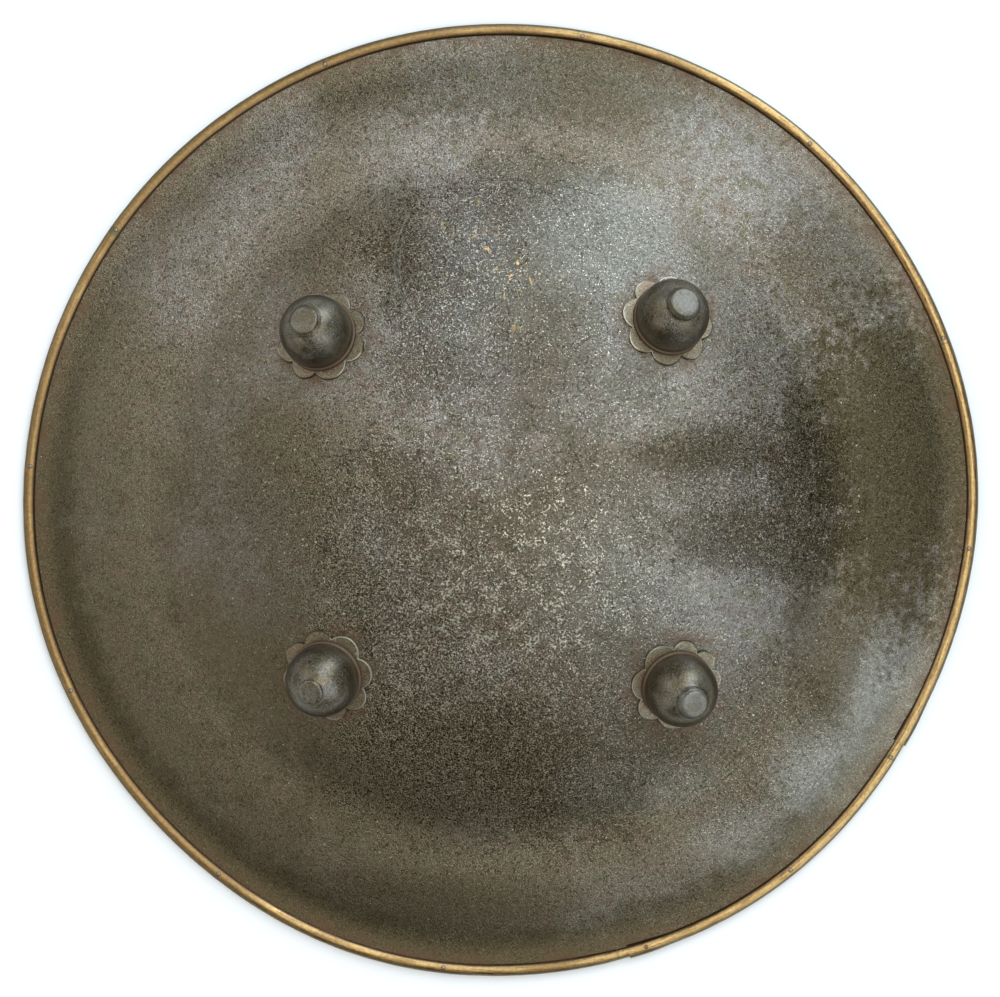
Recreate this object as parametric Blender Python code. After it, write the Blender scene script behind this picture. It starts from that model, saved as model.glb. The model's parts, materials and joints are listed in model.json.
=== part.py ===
"""Round steel hand shield of the dhal kind.

A dished steel plate with a domed middle and a brim that rolls over to its edge, a brass strip folded over
that edge in two lengths and pinned with steel rivets, and four bosses on scalloped washers. Lengths are in
metres. The shield lies on its rim with its front up: +Z is the front and +Y is the top of the shield as it
is carried.
"""

import math

import bmesh
import bpy
from mathutils import Matrix, Vector
from mathutils.geometry import interpolate_bezier

# Plate
OUTER_DIAMETER = 0.452
DOME_CURVATURE_RADIUS = 0.342
TURN_WIDTH = 0.022
ROLL_WIDTH = 0.037
EDGE_EASE_WIDTH = 0.012
FLAT_EDGE_WIDTH = 0.003
BRIM_WAIST_SLOPE = 9
BRIM_ROLL_SLOPE = 17
PLATE_THICKNESS = 0.0016

# Lobes of the hand-hammered edge: how many, how deep, turned by how many degrees
EDGE_LOBES = (
    (2, 0.00028, 86),
    (3, 0.00044, 123),
    (4, 0.00042, 10),
    (6, 0.00045, 42),
    (7, 0.00028, -18),
)

# Folded brass binding
BEAD_WIDTH = 0.0060
BRASS_THICKNESS = 0.0005
FOLD_HOLLOW = 0.0002
EDGE_ROOM = 0.00035
REST_FLAT_WIDTH = 0.0015
LAP_LENGTH = 0.008
LAP_EASE = 0.014
LAP_FRONT_STEP = 0.00045
LONG_BAND_START = -31.4
SHORT_BAND_START = -74.2

# Rim rivets
RIVET_DIAMETER = 0.0015
RIVET_INSET = 0.0002
RIVET_BACK_RECESS = 0.0003
RIVET_BEVEL = 0.0002
RIVET_ANGLES = (-6, 20, 49, 80, 112, 145, 176, 204, 233, 263, 288, 308, 326.5)

# Bosses: angle round the shield, distance from its middle, height of the neck, width of the flat top
BOSSES = {
    "upper_left": (137.7, 0.1113, 0.0021, 0.0134),
    "upper_right": (46.9, 0.1124, 0.0031, 0.0136),
    "lower_left": (225.4, 0.1136, 0.0021, 0.0120),
    "lower_right": (-46.6, 0.1176, 0.0036, 0.0126),
}
BOSS_FOOT_DIAMETER = 0.0340
BOSS_FOOT_HEIGHT = 0.0012
BOSS_BALL_DIAMETER = 0.0328
BOSS_BALL_RISE = 0.0070
BOSS_SHOULDER_ANGLE = 60
BOSS_TOP_BEVEL = 0.0006
NECK_FLARE = 0.0003
NECK_HANDLE = 0.0012
SHANK_DIAMETER = 0.0060
PEEN_LIP = 0.0025
PEEN_HEIGHT = 0.0022

# Scalloped washers: the angle of each cut between two lobes
WASHER_THICKNESS = 0.0010
WASHER_MARGIN = 0.0008
LOBE_DEPTH = 0.0039
WASHER_CUTS = {
    "upper_left": (1, 42, 90, 135, 178, 222, 263, 314),
    "upper_right": (15, 60, 104, 146, 193, 241, 288, 332),
    "lower_left": (30, 80, 124, 170, 215, 258, 300, 343),
    "lower_right": (22, 58, 97, 151, 200, 242, 295, 350),
}

# Gap that separate pieces keep where they touch, and how far a drill runs past what it cuts
CLEARANCE = 0.0003
DRILL_OVERRUN = 0.004

# Fineness of the curved surfaces
ROUND_STEPS = 44
DOME_RING_SAG = 0.00025
DOME_RING_CROWDING = 0.8
TURN_RINGS = 4
ROLL_RINGS = 3
EDGE_EASE_RINGS = 3
HEIGHT_STEPS = 60
BEAD_FRONT_STEPS = 5
BEAD_BACK_SHARES = (0.0, 0.30, 0.80, 1.0)
BEAD_INNER_STEPS = 3
BOSS_SIDES = 16
BOSS_BALL_STEPS = 5
BOSS_NECK_POINTS = 3
HOLE_SIDES = 10
RIVET_SIDES = 6
LOBE_STEPS = 4
SEAT_STEPS = 5
SHARP_ANGLE = math.radians(35)
MERGE_DISTANCE = 1e-6

# The fold: its lips clear the plate, and its back clears a second strip tucked under it at a lap
LIP_HEIGHT = PLATE_THICKNESS / 2 + CLEARANCE
TUCK = BRASS_THICKNESS + CLEARANCE
TUCKED_RISE = LIP_HEIGHT + FOLD_HOLLOW
TUCKED_HALF_WIDTH = BEAD_WIDTH / 2 - BRASS_THICKNESS - TUCK + LAP_FRONT_STEP
BEAD_RISE = TUCKED_RISE + BRASS_THICKNESS + TUCK

# Radii from the outside in
BEAD_CENTRE_RADIUS = OUTER_DIAMETER / 2 - BEAD_WIDTH / 2
EDGE_SHARE = math.sqrt(1.0 - (PLATE_THICKNESS / 2 / TUCKED_RISE) ** 2)
PLATE_EDGE_RADIUS = BEAD_CENTRE_RADIUS + TUCKED_HALF_WIDTH * EDGE_SHARE - EDGE_ROOM
LEVEL_RADIUS = OUTER_DIAMETER / 2 - BEAD_WIDTH - FLAT_EDGE_WIDTH
ROLL_END_RADIUS = LEVEL_RADIUS - EDGE_EASE_WIDTH
WAIST_RADIUS = ROLL_END_RADIUS - ROLL_WIDTH
DOME_END_RADIUS = WAIST_RADIUS - TURN_WIDTH
LOBE_CUT_RADIUS = BOSS_FOOT_DIAMETER / 2 + WASHER_MARGIN
LOBE_TIP_RADIUS = LOBE_CUT_RADIUS + LOBE_DEPTH

# Heights over the front of the plate
WASHER_UNDERSIDE = CLEARANCE
WASHER_TOP = WASHER_UNDERSIDE + WASHER_THICKNESS
BOSS_SEAT = WASHER_TOP + CLEARANCE
PEEN_SEAT = -PLATE_THICKNESS - CLEARANCE


def smoothstep(share):
    share = min(max(share, 0.0), 1.0)
    return share * share * (3.0 - 2.0 * share)


def edge_wander(angle):
    """How far the hand-hammered edge strays from a true circle."""
    return sum(depth * math.cos(lobes * angle - math.radians(turn)) for lobes, depth, turn in EDGE_LOBES)


def brim_share(radius):
    """0 on the dome and 1 at the edge of the plate."""
    return smoothstep((radius - DOME_END_RADIUS) / (PLATE_EDGE_RADIUS - DOME_END_RADIUS))


def plate_slope(radius):
    """Fall of the front surface: a sphere, a hollow turn to the brim, a roll outwards and a level edge."""
    dome = math.asin(min(radius, DOME_END_RADIUS) / DOME_CURVATURE_RADIUS)
    waist = math.radians(BRIM_WAIST_SLOPE)
    roll = math.radians(BRIM_ROLL_SLOPE)
    slope = dome + (waist - dome) * smoothstep((radius - DOME_END_RADIUS) / TURN_WIDTH)
    slope += (roll - waist) * smoothstep((radius - WAIST_RADIUS) / ROLL_WIDTH)
    return slope - roll * smoothstep((radius - ROLL_END_RADIUS) / EDGE_EASE_WIDTH)


def plate_height(radius):
    """Height of the front surface over the floor, summed inwards from the level edge."""
    step = (PLATE_EDGE_RADIUS - radius) / HEIGHT_STEPS
    rise = sum(math.tan(plate_slope(radius + (i + 0.5) * step)) * step for i in range(HEIGHT_STEPS))
    return BEAD_RISE + PLATE_THICKNESS / 2 + rise


def new_object(name, mesh_source, material, parent):
    """Turns a bmesh into a smooth-shaded object and clears the bmesh."""
    mesh = bpy.data.meshes.new(name)
    mesh_source.to_mesh(mesh)
    mesh_source.free()
    mesh.shade_smooth()
    mesh.set_sharp_from_angle(angle=SHARP_ANGLE)
    mesh.materials.append(material)
    made = bpy.data.objects.new(name, mesh)
    bpy.context.collection.objects.link(made)
    made.parent = parent
    return made


def metal(name, colour, roughness):
    material = bpy.data.materials.new(name)
    material.use_nodes = True
    shader = material.node_tree.nodes["Principled BSDF"]
    shader.inputs["Base Color"].default_value = (*colour, 1.0)
    shader.inputs["Metallic"].default_value = 1.0
    shader.inputs["Roughness"].default_value = roughness
    return material


def turned_solid(profile, sides):
    """Spins a profile of (radius, height) points round Z into one closed solid."""
    bm = bmesh.new()
    points = [bm.verts.new((radius, 0.0, height)) for radius, height in profile]
    edges = [bm.edges.new(pair) for pair in zip(points, points[1:])]
    bmesh.ops.spin(
        bm,
        geom=points + edges,
        cent=(0, 0, 0),
        axis=(0, 0, 1),
        angle=2 * math.pi,
        steps=sides,
    )
    bmesh.ops.remove_doubles(bm, verts=bm.verts, dist=MERGE_DISTANCE)
    bmesh.ops.recalc_face_normals(bm, faces=bm.faces)
    return bm


def plate_mesh():
    """The dished plate: front and back surfaces a plate's thickness apart, joined at the edge."""
    ring_step = math.sqrt(8 * DOME_CURVATURE_RADIUS * DOME_RING_SAG)
    rings = math.ceil(DOME_END_RADIUS / ring_step)
    radii = [DOME_END_RADIUS * (i / rings) ** DOME_RING_CROWDING for i in range(rings)]
    radii += [DOME_END_RADIUS + TURN_WIDTH * i / TURN_RINGS for i in range(TURN_RINGS)]
    radii += [WAIST_RADIUS + ROLL_WIDTH * i / ROLL_RINGS for i in range(ROLL_RINGS)]
    radii += [ROLL_END_RADIUS + EDGE_EASE_WIDTH * i / EDGE_EASE_RINGS for i in range(EDGE_EASE_RINGS)]
    radii += [LEVEL_RADIUS, PLATE_EDGE_RADIUS]
    front = [(radius, plate_height(radius)) for radius in radii]
    back = []
    for radius, height in front:
        slope = plate_slope(radius)
        inward = PLATE_THICKNESS * math.sin(slope)
        back.append((radius - inward, height - PLATE_THICKNESS * math.cos(slope)))
    bm = turned_solid(front + back[::-1], ROUND_STEPS)
    for vert in bm.verts:
        radius = vert.co.xy.length
        if radius > DOME_END_RADIUS:
            angle = math.atan2(vert.co.y, vert.co.x)
            grown = 1.0 + edge_wander(angle) * brim_share(radius) / radius
            vert.co.x *= grown
            vert.co.y *= grown
    return bm


def bead_skin(half_width, front_rise, back_rise, front_steps, back_shares):
    """One skin of the folded strip cut across, from its front lip round the outside to its back lip."""
    front_turn = math.pi - math.asin(LIP_HEIGHT / front_rise)
    back_turn = math.pi - math.asin(LIP_HEIGHT / back_rise)
    points = []
    for i in range(front_steps):
        angle = front_turn * (1.0 - i / front_steps)
        points.append((half_width * math.cos(angle), front_rise * math.sin(angle)))
    for share in back_shares:
        angle = back_turn * share
        points.append((half_width * math.cos(angle), -back_rise * math.sin(angle)))
    return points


def bead_section(front_growth, back_growth):
    """Closed outline of the strip cut across, as (outward, up) from the bead's centre, flat underneath."""
    half_width = BEAD_WIDTH / 2 + front_growth
    front_rise = BEAD_RISE + front_growth
    back_rise = BEAD_RISE + back_growth
    outer = bead_skin(half_width, front_rise, back_rise, BEAD_FRONT_STEPS, BEAD_BACK_SHARES)
    middle = BEAD_FRONT_STEPS + len(BEAD_BACK_SHARES) // 2
    outer[middle:middle] = [(REST_FLAT_WIDTH / 2, -back_rise), (-REST_FLAT_WIDTH / 2, -back_rise)]
    inner = bead_skin(
        half_width - BRASS_THICKNESS,
        front_rise - BRASS_THICKNESS,
        back_rise - BRASS_THICKNESS,
        BEAD_INNER_STEPS,
        [i / BEAD_INNER_STEPS for i in range(BEAD_INNER_STEPS + 1)],
    )
    return outer + inner[::-1]


def lap_share(distance):
    """1 inside a lap joint, easing to 0 past it, for a distance from the end of the band."""
    return 1.0 - smoothstep((distance - LAP_LENGTH) / LAP_EASE)


def band_angles(start, finish):
    """Where the strip is cut across: close together at its two lap joints, evenly between them."""
    joint = [(LAP_LENGTH + LAP_EASE * share) / BEAD_CENTRE_RADIUS for share in (0.0, 0.5, 1.0)]
    first = [start] + [start + turn for turn in joint]
    last = [finish - turn for turn in joint[::-1]] + [finish]
    span = last[0] - first[-1]
    steps = max(math.ceil(ROUND_STEPS * span / (2 * math.pi)), 1)
    return first + [first[-1] + span * i / steps for i in range(1, steps)] + last


def band_mesh(start, finish):
    """A length of folded strip that laps over its neighbour at its start and tucks under at its finish."""
    bm = bmesh.new()
    loops = []
    for angle in band_angles(start, finish):
        over = lap_share((angle - start) * BEAD_CENTRE_RADIUS)
        under = lap_share((finish - angle) * BEAD_CENTRE_RADIUS)
        front_growth = LAP_FRONT_STEP * over - (TUCK - LAP_FRONT_STEP) * under
        centre = BEAD_CENTRE_RADIUS + edge_wander(angle)
        loop = []
        for out, up in bead_section(front_growth, -TUCK * under):
            radius = centre + out
            loop.append(bm.verts.new((radius * math.cos(angle), radius * math.sin(angle), BEAD_RISE + up)))
        loops.append(loop)
    for near, far in zip(loops, loops[1:]):
        for i in range(len(near)):
            bm.faces.new((near[i - 1], near[i], far[i], far[i - 1]))
    bm.faces.new(loops[0])
    bm.faces.new(loops[-1])
    bmesh.ops.recalc_face_normals(bm, faces=bm.faces)
    return bm


def boss_frame(angle, distance):
    """Placement whose origin is on the front of the plate and whose Z is square to it."""
    heading = math.radians(angle)
    slope = plate_slope(distance)
    outward = Vector((math.cos(heading), math.sin(heading), 0.0))
    normal = outward * math.sin(slope) + Vector((0.0, 0.0, math.cos(slope)))
    place = outward * distance + Vector((0.0, 0.0, plate_height(distance)))
    turn = Vector((0.0, 0.0, 1.0)).rotation_difference(normal)
    return Matrix.Translation(place) @ turn.to_matrix().to_4x4()


def laid_on_plate(frame, across, along, offset):
    """A point of a boss's own frame, moved along the boss's axis to lie this far off the front surface."""
    height = offset
    for _ in range(SEAT_STEPS):
        place = frame @ Vector((across, along, height))
        radius = place.xy.length
        height += offset - (place.z - plate_height(radius)) * math.cos(plate_slope(radius))
    return Vector((across, along, height))


def washer_mesh(frame, cuts):
    """A thin rosette of round lobes between the cuts, dished to follow the plate."""
    hole_radius = SHANK_DIAMETER / 2 + CLEARANCE
    outline = []
    turns = [math.radians(cut) for cut in cuts]
    for start, finish in zip(turns, turns[1:] + [turns[0] + 2 * math.pi]):
        half = (finish - start) / 2
        chord_distance = LOBE_CUT_RADIUS * math.cos(half)
        half_chord = LOBE_CUT_RADIUS * math.sin(half)
        reach = LOBE_TIP_RADIUS - chord_distance
        lobe_radius = (half_chord**2 + reach**2) / (2 * reach)
        lobe_centre = LOBE_TIP_RADIUS - lobe_radius
        sweep = math.atan2(half_chord, chord_distance - lobe_centre)
        for i in range(LOBE_STEPS):
            swing = sweep * (2 * i / LOBE_STEPS - 1.0)
            out = lobe_centre + lobe_radius * math.cos(swing)
            side = lobe_radius * math.sin(swing)
            middle = start + half
            outline.append((math.atan2(side, out) + middle, math.hypot(out, side)))
    bm = bmesh.new()
    rings = []
    for offset in (WASHER_UNDERSIDE, WASHER_TOP):
        for bore in (True, False):
            ring = []
            for turn, radius in outline:
                reach = hole_radius if bore else radius
                spot = laid_on_plate(frame, reach * math.cos(turn), reach * math.sin(turn), offset)
                ring.append(bm.verts.new(spot))
            rings.append(ring)
    under_bore, under_edge, top_bore, top_edge = rings
    circuit = (under_bore, under_edge, top_edge, top_bore, under_bore)
    for near, far in zip(circuit, circuit[1:]):
        for i in range(len(outline)):
            bm.faces.new((near[i - 1], near[i], far[i], far[i - 1]))
    bmesh.ops.recalc_face_normals(bm, faces=bm.faces)
    return bm


def boss_profile(neck_height, top_diameter):
    """Outline of a boss from the peened end of its shank, under the foot and up to its flat top."""
    foot = BOSS_FOOT_DIAMETER / 2
    ball = BOSS_BALL_DIAMETER / 2
    shank = SHANK_DIAMETER / 2
    peen = shank + PEEN_LIP
    top = top_diameter / 2
    profile = [
        (0.0, PEEN_SEAT - PEEN_HEIGHT),
        (peen, PEEN_SEAT - PEEN_HEIGHT),
        (peen, PEEN_SEAT),
        (shank, PEEN_SEAT),
        (shank, BOSS_SEAT),
        (foot, BOSS_SEAT),
        (foot, BOSS_SEAT + BOSS_FOOT_HEIGHT),
    ]
    middle = BOSS_SEAT + BOSS_BALL_RISE
    rising = -math.asin((BOSS_BALL_RISE - BOSS_FOOT_HEIGHT) / ball)
    shoulder = math.radians(BOSS_SHOULDER_ANGLE)
    for i in range(BOSS_BALL_STEPS):
        angle = rising + (shoulder - rising) * i / BOSS_BALL_STEPS
        profile.append((ball * math.cos(angle), middle + ball * math.sin(angle)))
    start = Vector((ball * math.cos(shoulder), middle + ball * math.sin(shoulder)))
    leaving = Vector((-math.sin(shoulder), math.cos(shoulder)))
    finish = Vector((top, start.y + neck_height))
    arriving = finish + Vector((NECK_FLARE, -NECK_HANDLE))
    neck = interpolate_bezier(start, start + leaving * NECK_HANDLE, arriving, finish, BOSS_NECK_POINTS)
    profile += [(point.x, point.y) for point in neck]
    height = finish.y + BOSS_TOP_BEVEL
    profile += [(top - BOSS_TOP_BEVEL, height), (0.0, height)]
    return profile


def boss_mesh(frame, neck_height, top_diameter):
    """A turned boss whose foot and peened end are fitted to the plate's own curve."""
    bm = turned_solid(boss_profile(neck_height, top_diameter), BOSS_SIDES)
    for vert in bm.verts:
        for seat in (BOSS_SEAT, PEEN_SEAT):
            if abs(vert.co.z - seat) < MERGE_DISTANCE:
                vert.co = laid_on_plate(frame, vert.co.x, vert.co.y, seat)
    return bm


def rivet_place(angle):
    heading = math.radians(angle)
    radius = BEAD_CENTRE_RADIUS + edge_wander(heading) - RIVET_INSET
    return Vector((radius * math.cos(heading), radius * math.sin(heading), 0.0))


def rivet_mesh():
    """A straight pin, flush with the crown of the bead in front and a little short at the back."""
    radius = RIVET_DIAMETER / 2
    crown = 2 * BEAD_RISE
    profile = [
        (0.0, RIVET_BACK_RECESS),
        (radius, RIVET_BACK_RECESS),
        (radius, crown - RIVET_BEVEL),
        (radius - RIVET_BEVEL, crown),
        (0.0, crown),
    ]
    return turned_solid(profile, RIVET_SIDES)


def hole_cutter(name, places, diameter, sides, low, high, parent):
    """One hidden object that holds a straight drill for each place, with its flats the diameter apart."""
    bm = bmesh.new()
    corner_radius = diameter / 2 / math.cos(math.pi / sides)
    middle = Matrix.Translation((0.0, 0.0, (low + high) / 2))
    for place in places:
        bmesh.ops.create_cone(
            bm,
            cap_ends=True,
            segments=sides,
            radius1=corner_radius,
            radius2=corner_radius,
            depth=high - low,
            matrix=place @ middle,
        )
    mesh = bpy.data.meshes.new(name)
    bm.to_mesh(mesh)
    bm.free()
    cutter = bpy.data.objects.new(name, mesh)
    bpy.context.collection.objects.link(cutter)
    cutter.parent = parent
    cutter.hide_render = True
    cutter.display_type = "WIRE"
    return cutter


def drill(piece, cutter):
    cut = piece.modifiers.new(cutter.name, "BOOLEAN")
    cut.operation = "DIFFERENCE"
    cut.solver = "EXACT"
    cut.object = cutter


for old in list(bpy.data.objects):
    bpy.data.objects.remove(old, do_unlink=True)

plate_steel = metal("plate_steel", (0.16, 0.145, 0.125), 0.48)
washer_steel = metal("washer_steel", (0.19, 0.155, 0.125), 0.50)
boss_steel = metal("boss_steel", (0.15, 0.135, 0.120), 0.34)
rivet_steel = metal("rivet_steel", (0.30, 0.30, 0.28), 0.45)
rim_brass = metal("rim_brass", (0.58, 0.40, 0.17), 0.36)

shield = bpy.data.objects.new("shield", None)
bpy.context.collection.objects.link(shield)

# Plate, drilled for the shanks and the rivets
shield_plate = new_object("shield_plate", plate_mesh(), plate_steel, shield)
frames = {corner: boss_frame(angle, distance) for corner, (angle, distance, _, _) in BOSSES.items()}
shank_drill = hole_cutter(
    "shank_drill",
    frames.values(),
    SHANK_DIAMETER + 2 * CLEARANCE,
    HOLE_SIDES,
    -PLATE_THICKNESS - DRILL_OVERRUN,
    DRILL_OVERRUN,
    shield,
)
rivet_drill = hole_cutter(
    "rivet_drill",
    [Matrix.Translation(rivet_place(angle)) for angle in RIVET_ANGLES],
    RIVET_DIAMETER + 2 * CLEARANCE,
    RIVET_SIDES,
    -DRILL_OVERRUN,
    2 * BEAD_RISE + DRILL_OVERRUN,
    shield,
)
drill(shield_plate, shank_drill)
drill(shield_plate, rivet_drill)

# Brass binding in two lengths
lap_turn = LAP_LENGTH / BEAD_CENTRE_RADIUS
long_start = math.radians(LONG_BAND_START)
short_start = math.radians(SHORT_BAND_START)
long_mesh = band_mesh(long_start, short_start + 2 * math.pi + lap_turn)
short_mesh = band_mesh(short_start, long_start + lap_turn)
bands = [
    new_object("rim_band_long", long_mesh, rim_brass, shield),
    new_object("rim_band_short", short_mesh, rim_brass, shield),
]
for band in bands:
    drill(band, rivet_drill)

for number, angle in enumerate(RIVET_ANGLES, 1):
    rivet = new_object(f"rim_rivet_{number:02d}", rivet_mesh(), rivet_steel, shield)
    rivet.location = rivet_place(angle)

# Washers and bosses, square to the dome where they sit
for corner, (_, _, neck_height, top_diameter) in BOSSES.items():
    frame = frames[corner]
    washer = new_object(f"washer_{corner}", washer_mesh(frame, WASHER_CUTS[corner]), washer_steel, shield)
    boss = new_object(f"boss_{corner}", boss_mesh(frame, neck_height, top_diameter), boss_steel, shield)
    for piece in (washer, boss):
        piece.location = frame.to_translation()
        piece.rotation_euler = frame.to_euler()

# The middle of the bounding box comes to the origin
reach = [vert.co for band in bands for vert in band.data.vertices]
shield.location.x = -(min(p.x for p in reach) + max(p.x for p in reach)) / 2
shield.location.y = -(min(p.y for p in reach) + max(p.y for p in reach)) / 2
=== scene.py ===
import json
import math

import bmesh
import bpy
from mathutils import Matrix, Vector, noise
from mathutils.geometry import interpolate_bezier


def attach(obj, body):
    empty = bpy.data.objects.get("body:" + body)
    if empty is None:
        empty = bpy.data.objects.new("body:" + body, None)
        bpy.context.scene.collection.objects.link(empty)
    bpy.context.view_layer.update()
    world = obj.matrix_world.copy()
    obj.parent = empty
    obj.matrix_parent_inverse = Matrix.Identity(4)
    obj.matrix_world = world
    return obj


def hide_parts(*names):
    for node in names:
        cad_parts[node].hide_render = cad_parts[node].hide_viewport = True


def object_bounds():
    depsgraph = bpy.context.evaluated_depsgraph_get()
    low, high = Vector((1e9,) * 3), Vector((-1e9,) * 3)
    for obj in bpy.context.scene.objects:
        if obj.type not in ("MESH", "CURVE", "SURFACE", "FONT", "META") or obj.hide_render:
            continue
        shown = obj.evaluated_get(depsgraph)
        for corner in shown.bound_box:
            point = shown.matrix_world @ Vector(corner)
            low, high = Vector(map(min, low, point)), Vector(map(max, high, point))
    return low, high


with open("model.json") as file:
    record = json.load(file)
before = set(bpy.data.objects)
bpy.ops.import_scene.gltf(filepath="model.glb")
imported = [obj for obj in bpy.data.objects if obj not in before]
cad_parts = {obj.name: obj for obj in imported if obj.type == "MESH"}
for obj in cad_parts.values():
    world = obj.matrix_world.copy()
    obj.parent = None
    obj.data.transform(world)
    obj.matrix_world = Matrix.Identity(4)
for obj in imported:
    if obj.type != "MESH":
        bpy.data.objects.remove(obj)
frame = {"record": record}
cad_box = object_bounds()

# The plate is one disc of steel, hammered into a dome with a hollow turn and a brim that rolls outwards
# again. Its face was etched with medallions, scrolling vines and a band of cartouches, now worn faint,
# and it has gone dark brown; its colour adds painted shade in some dark places, and grey places that are
# partly where hands and cloths have rubbed it and partly painted sheen.
OUTER_DIAMETER = 0.452
BEAD_WIDTH = 0.006
PLATE_THICKNESS = 0.0016
BRASS_THICKNESS = 0.0005
CLEARANCE = 0.0003
DOME_CURVATURE_RADIUS = 0.342
BRIM_WAIST_SLOPE = math.radians(9)
BRIM_ROLL_SLOPE = math.radians(17)
LEVEL_MARGIN = 0.003
LEVEL_RADIUS = OUTER_DIAMETER / 2 - BEAD_WIDTH - LEVEL_MARGIN
EDGE_EASE_WIDTH = 0.012
ROLL_END_RADIUS = LEVEL_RADIUS - EDGE_EASE_WIDTH
ROLL_WIDTH = 0.037
WAIST_RADIUS = ROLL_END_RADIUS - ROLL_WIDTH
TURN_WIDTH = 0.022
DOME_END_RADIUS = WAIST_RADIUS - TURN_WIDTH
TUCK = BRASS_THICKNESS + CLEARANCE
LIP_HEIGHT = PLATE_THICKNESS / 2 + CLEARANCE
FOLD_EASE = 0.0002
BEAD_RISE = LIP_HEIGHT + FOLD_EASE + BRASS_THICKNESS + TUCK
PLATE_EDGE_RADIUS = 0.2243
HEIGHT_STEPS = 60
PROFILE_STEP = 0.001
EDGE_LOBES = (
    (2, 0.00028, 86),
    (3, 0.00044, 123),
    (4, 0.00042, 10),
    (6, 0.00045, 42),
    (7, 0.00028, -18),
)

# Where the four bosses stand: angle round the shield, distance from its middle, neck height, top width
BOSSES = {
    "upper_left": (137.7, 0.1113, 0.0021, 0.0134),
    "upper_right": (46.9, 0.1124, 0.0031, 0.0136),
    "lower_left": (225.4, 0.1136, 0.0021, 0.0120),
    "lower_right": (-46.6, 0.1176, 0.0036, 0.0126),
}
# Etched circles: across, up, radius
MEDALLIONS = (
    (0.0004, -0.0010, 0.0395),
    (-0.0050, 0.1092, 0.0425),
    (-0.0019, -0.1163, 0.0392),
    (0.1142, -0.0010, 0.0389),
    (-0.1109, 0.0012, 0.0380),
    (0.0522, 0.0530, 0.0236),
    (0.1070, 0.0843, 0.0188),
    (0.1119, -0.0891, 0.0165),
)
BORDER_RADII = (0.1446, 0.1490, 0.1612, 0.1640, 0.2010, 0.2032)
PETAL_RING_RADIUS = 0.0478
PETAL_COUNT = 24
CARTOUCHE_RADIUS = 0.1825
CARTOUCHE_COUNT = 14
STROKES_IN_CARTOUCHE = 15
STROKE_SPACING = 0.0040
CARTOUCHE_HEIGHT = 0.0290
# Each stroke runs from a low point, past a bend, to a high point
STROKE_CURVES = (
    ((0.0, -0.0085, 0.0), (0.0014, 0.0, 0.0), (-0.0002, 0.0090, 0.0)),
    ((0.0008, -0.0100, 0.0), (-0.0022, -0.0070, 0.0), (0.0004, -0.0030, 0.0)),
    ((-0.0004, 0.0040, 0.0), (0.0026, 0.0062, 0.0), (0.0002, 0.0098, 0.0)),
)
# Each leaf of a sprig, in the same way
LEAF_CURVES = (
    ((0.0054, 0.0, 0.0), (0.0075, 0.0020, 0.0), (0.0068, 0.0052, 0.0)),
    ((0.0030, -0.0046, 0.0), (0.0064, -0.0052, 0.0), (0.0078, -0.0020, 0.0)),
)
VINE_GAP = 0.004
LOBE_TIP_RADIUS = 0.0217
HAMMER_MARKS = 34.0
CALM_EDGE = (0.205, 0.192)
DENT_PLACE = (0.120, 0.0068, 0.0)
DENT_SIZE = (0.032, 0.008, 1.0)
PLATE_RINGS = 136
PLATE_SIDES = 301
FRONT_SHARE = 2 / 3


def smoothstep(share):
    share = min(max(share, 0.0), 1.0)
    return share * share * (3.0 - 2.0 * share)


def edge_wander(angle):
    """How far the hand-hammered edge strays from a true circle."""
    return sum(depth * math.cos(lobes * angle - math.radians(turn)) for lobes, depth, turn in EDGE_LOBES)


def plate_slope(radius):
    """Fall of the face: a sphere, a hollow turn to the brim, a roll outwards and a level edge."""
    dome = math.asin(min(radius, DOME_END_RADIUS) / DOME_CURVATURE_RADIUS)
    slope = dome + (BRIM_WAIST_SLOPE - dome) * smoothstep((radius - DOME_END_RADIUS) / TURN_WIDTH)
    slope += (BRIM_ROLL_SLOPE - BRIM_WAIST_SLOPE) * smoothstep((radius - WAIST_RADIUS) / ROLL_WIDTH)
    return slope - BRIM_ROLL_SLOPE * smoothstep((radius - ROLL_END_RADIUS) / EDGE_EASE_WIDTH)


def plate_height(radius):
    """Height of the face over the floor, summed inwards from the level edge."""
    step = (PLATE_EDGE_RADIUS - radius) / HEIGHT_STEPS
    rise = sum(math.tan(plate_slope(radius + (i + 0.5) * step)) * step for i in range(HEIGHT_STEPS))
    return BEAD_RISE + PLATE_THICKNESS / 2 + rise


def boss_frame(angle, distance):
    """Placement whose origin is on the face of the plate and whose Z is square to it."""
    heading = math.radians(angle)
    slope = plate_slope(distance)
    outward = Vector((math.cos(heading), math.sin(heading), 0.0))
    normal = outward * math.sin(slope) + Vector((0.0, 0.0, math.cos(slope)))
    place = outward * distance + Vector((0.0, 0.0, plate_height(distance)))
    turn = Vector((0.0, 0.0, 1.0)).rotation_difference(normal)
    return Matrix.Translation(place) @ turn.to_matrix().to_4x4()


# The wavy edge puts the middle of the box a little off the middle of the disc; a grip stud shows how far
PEEN_HEIGHT = 0.0022
PEEN_SEAT = -PLATE_THICKNESS - CLEARANCE
boss_frames = {corner: boss_frame(angle, distance) for corner, (angle, distance, _, _) in BOSSES.items()}
mounts = {mount["name"]: mount for mount in frame["record"]["mounts"]}
stud_end = boss_frames["upper_left"] @ Vector((0.0, 0.0, PEEN_SEAT - PEEN_HEIGHT))
disc_middle = Vector(mounts["grip_stud_upper_left"]["pos_m"]) - stud_end
disc_middle.z = 0.0


def put(tree, kind, inputs=None, **settings):
    """Adds a node, sets its options, and fills its inputs with values or links."""
    node = tree.nodes.new(kind)
    for name, value in settings.items():
        setattr(node, name, value)
    for key, value in (inputs or {}).items():
        if isinstance(value, bpy.types.NodeSocket):
            tree.links.new(value, node.inputs[key])
        else:
            node.inputs[key].default_value = value
    return node


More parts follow.
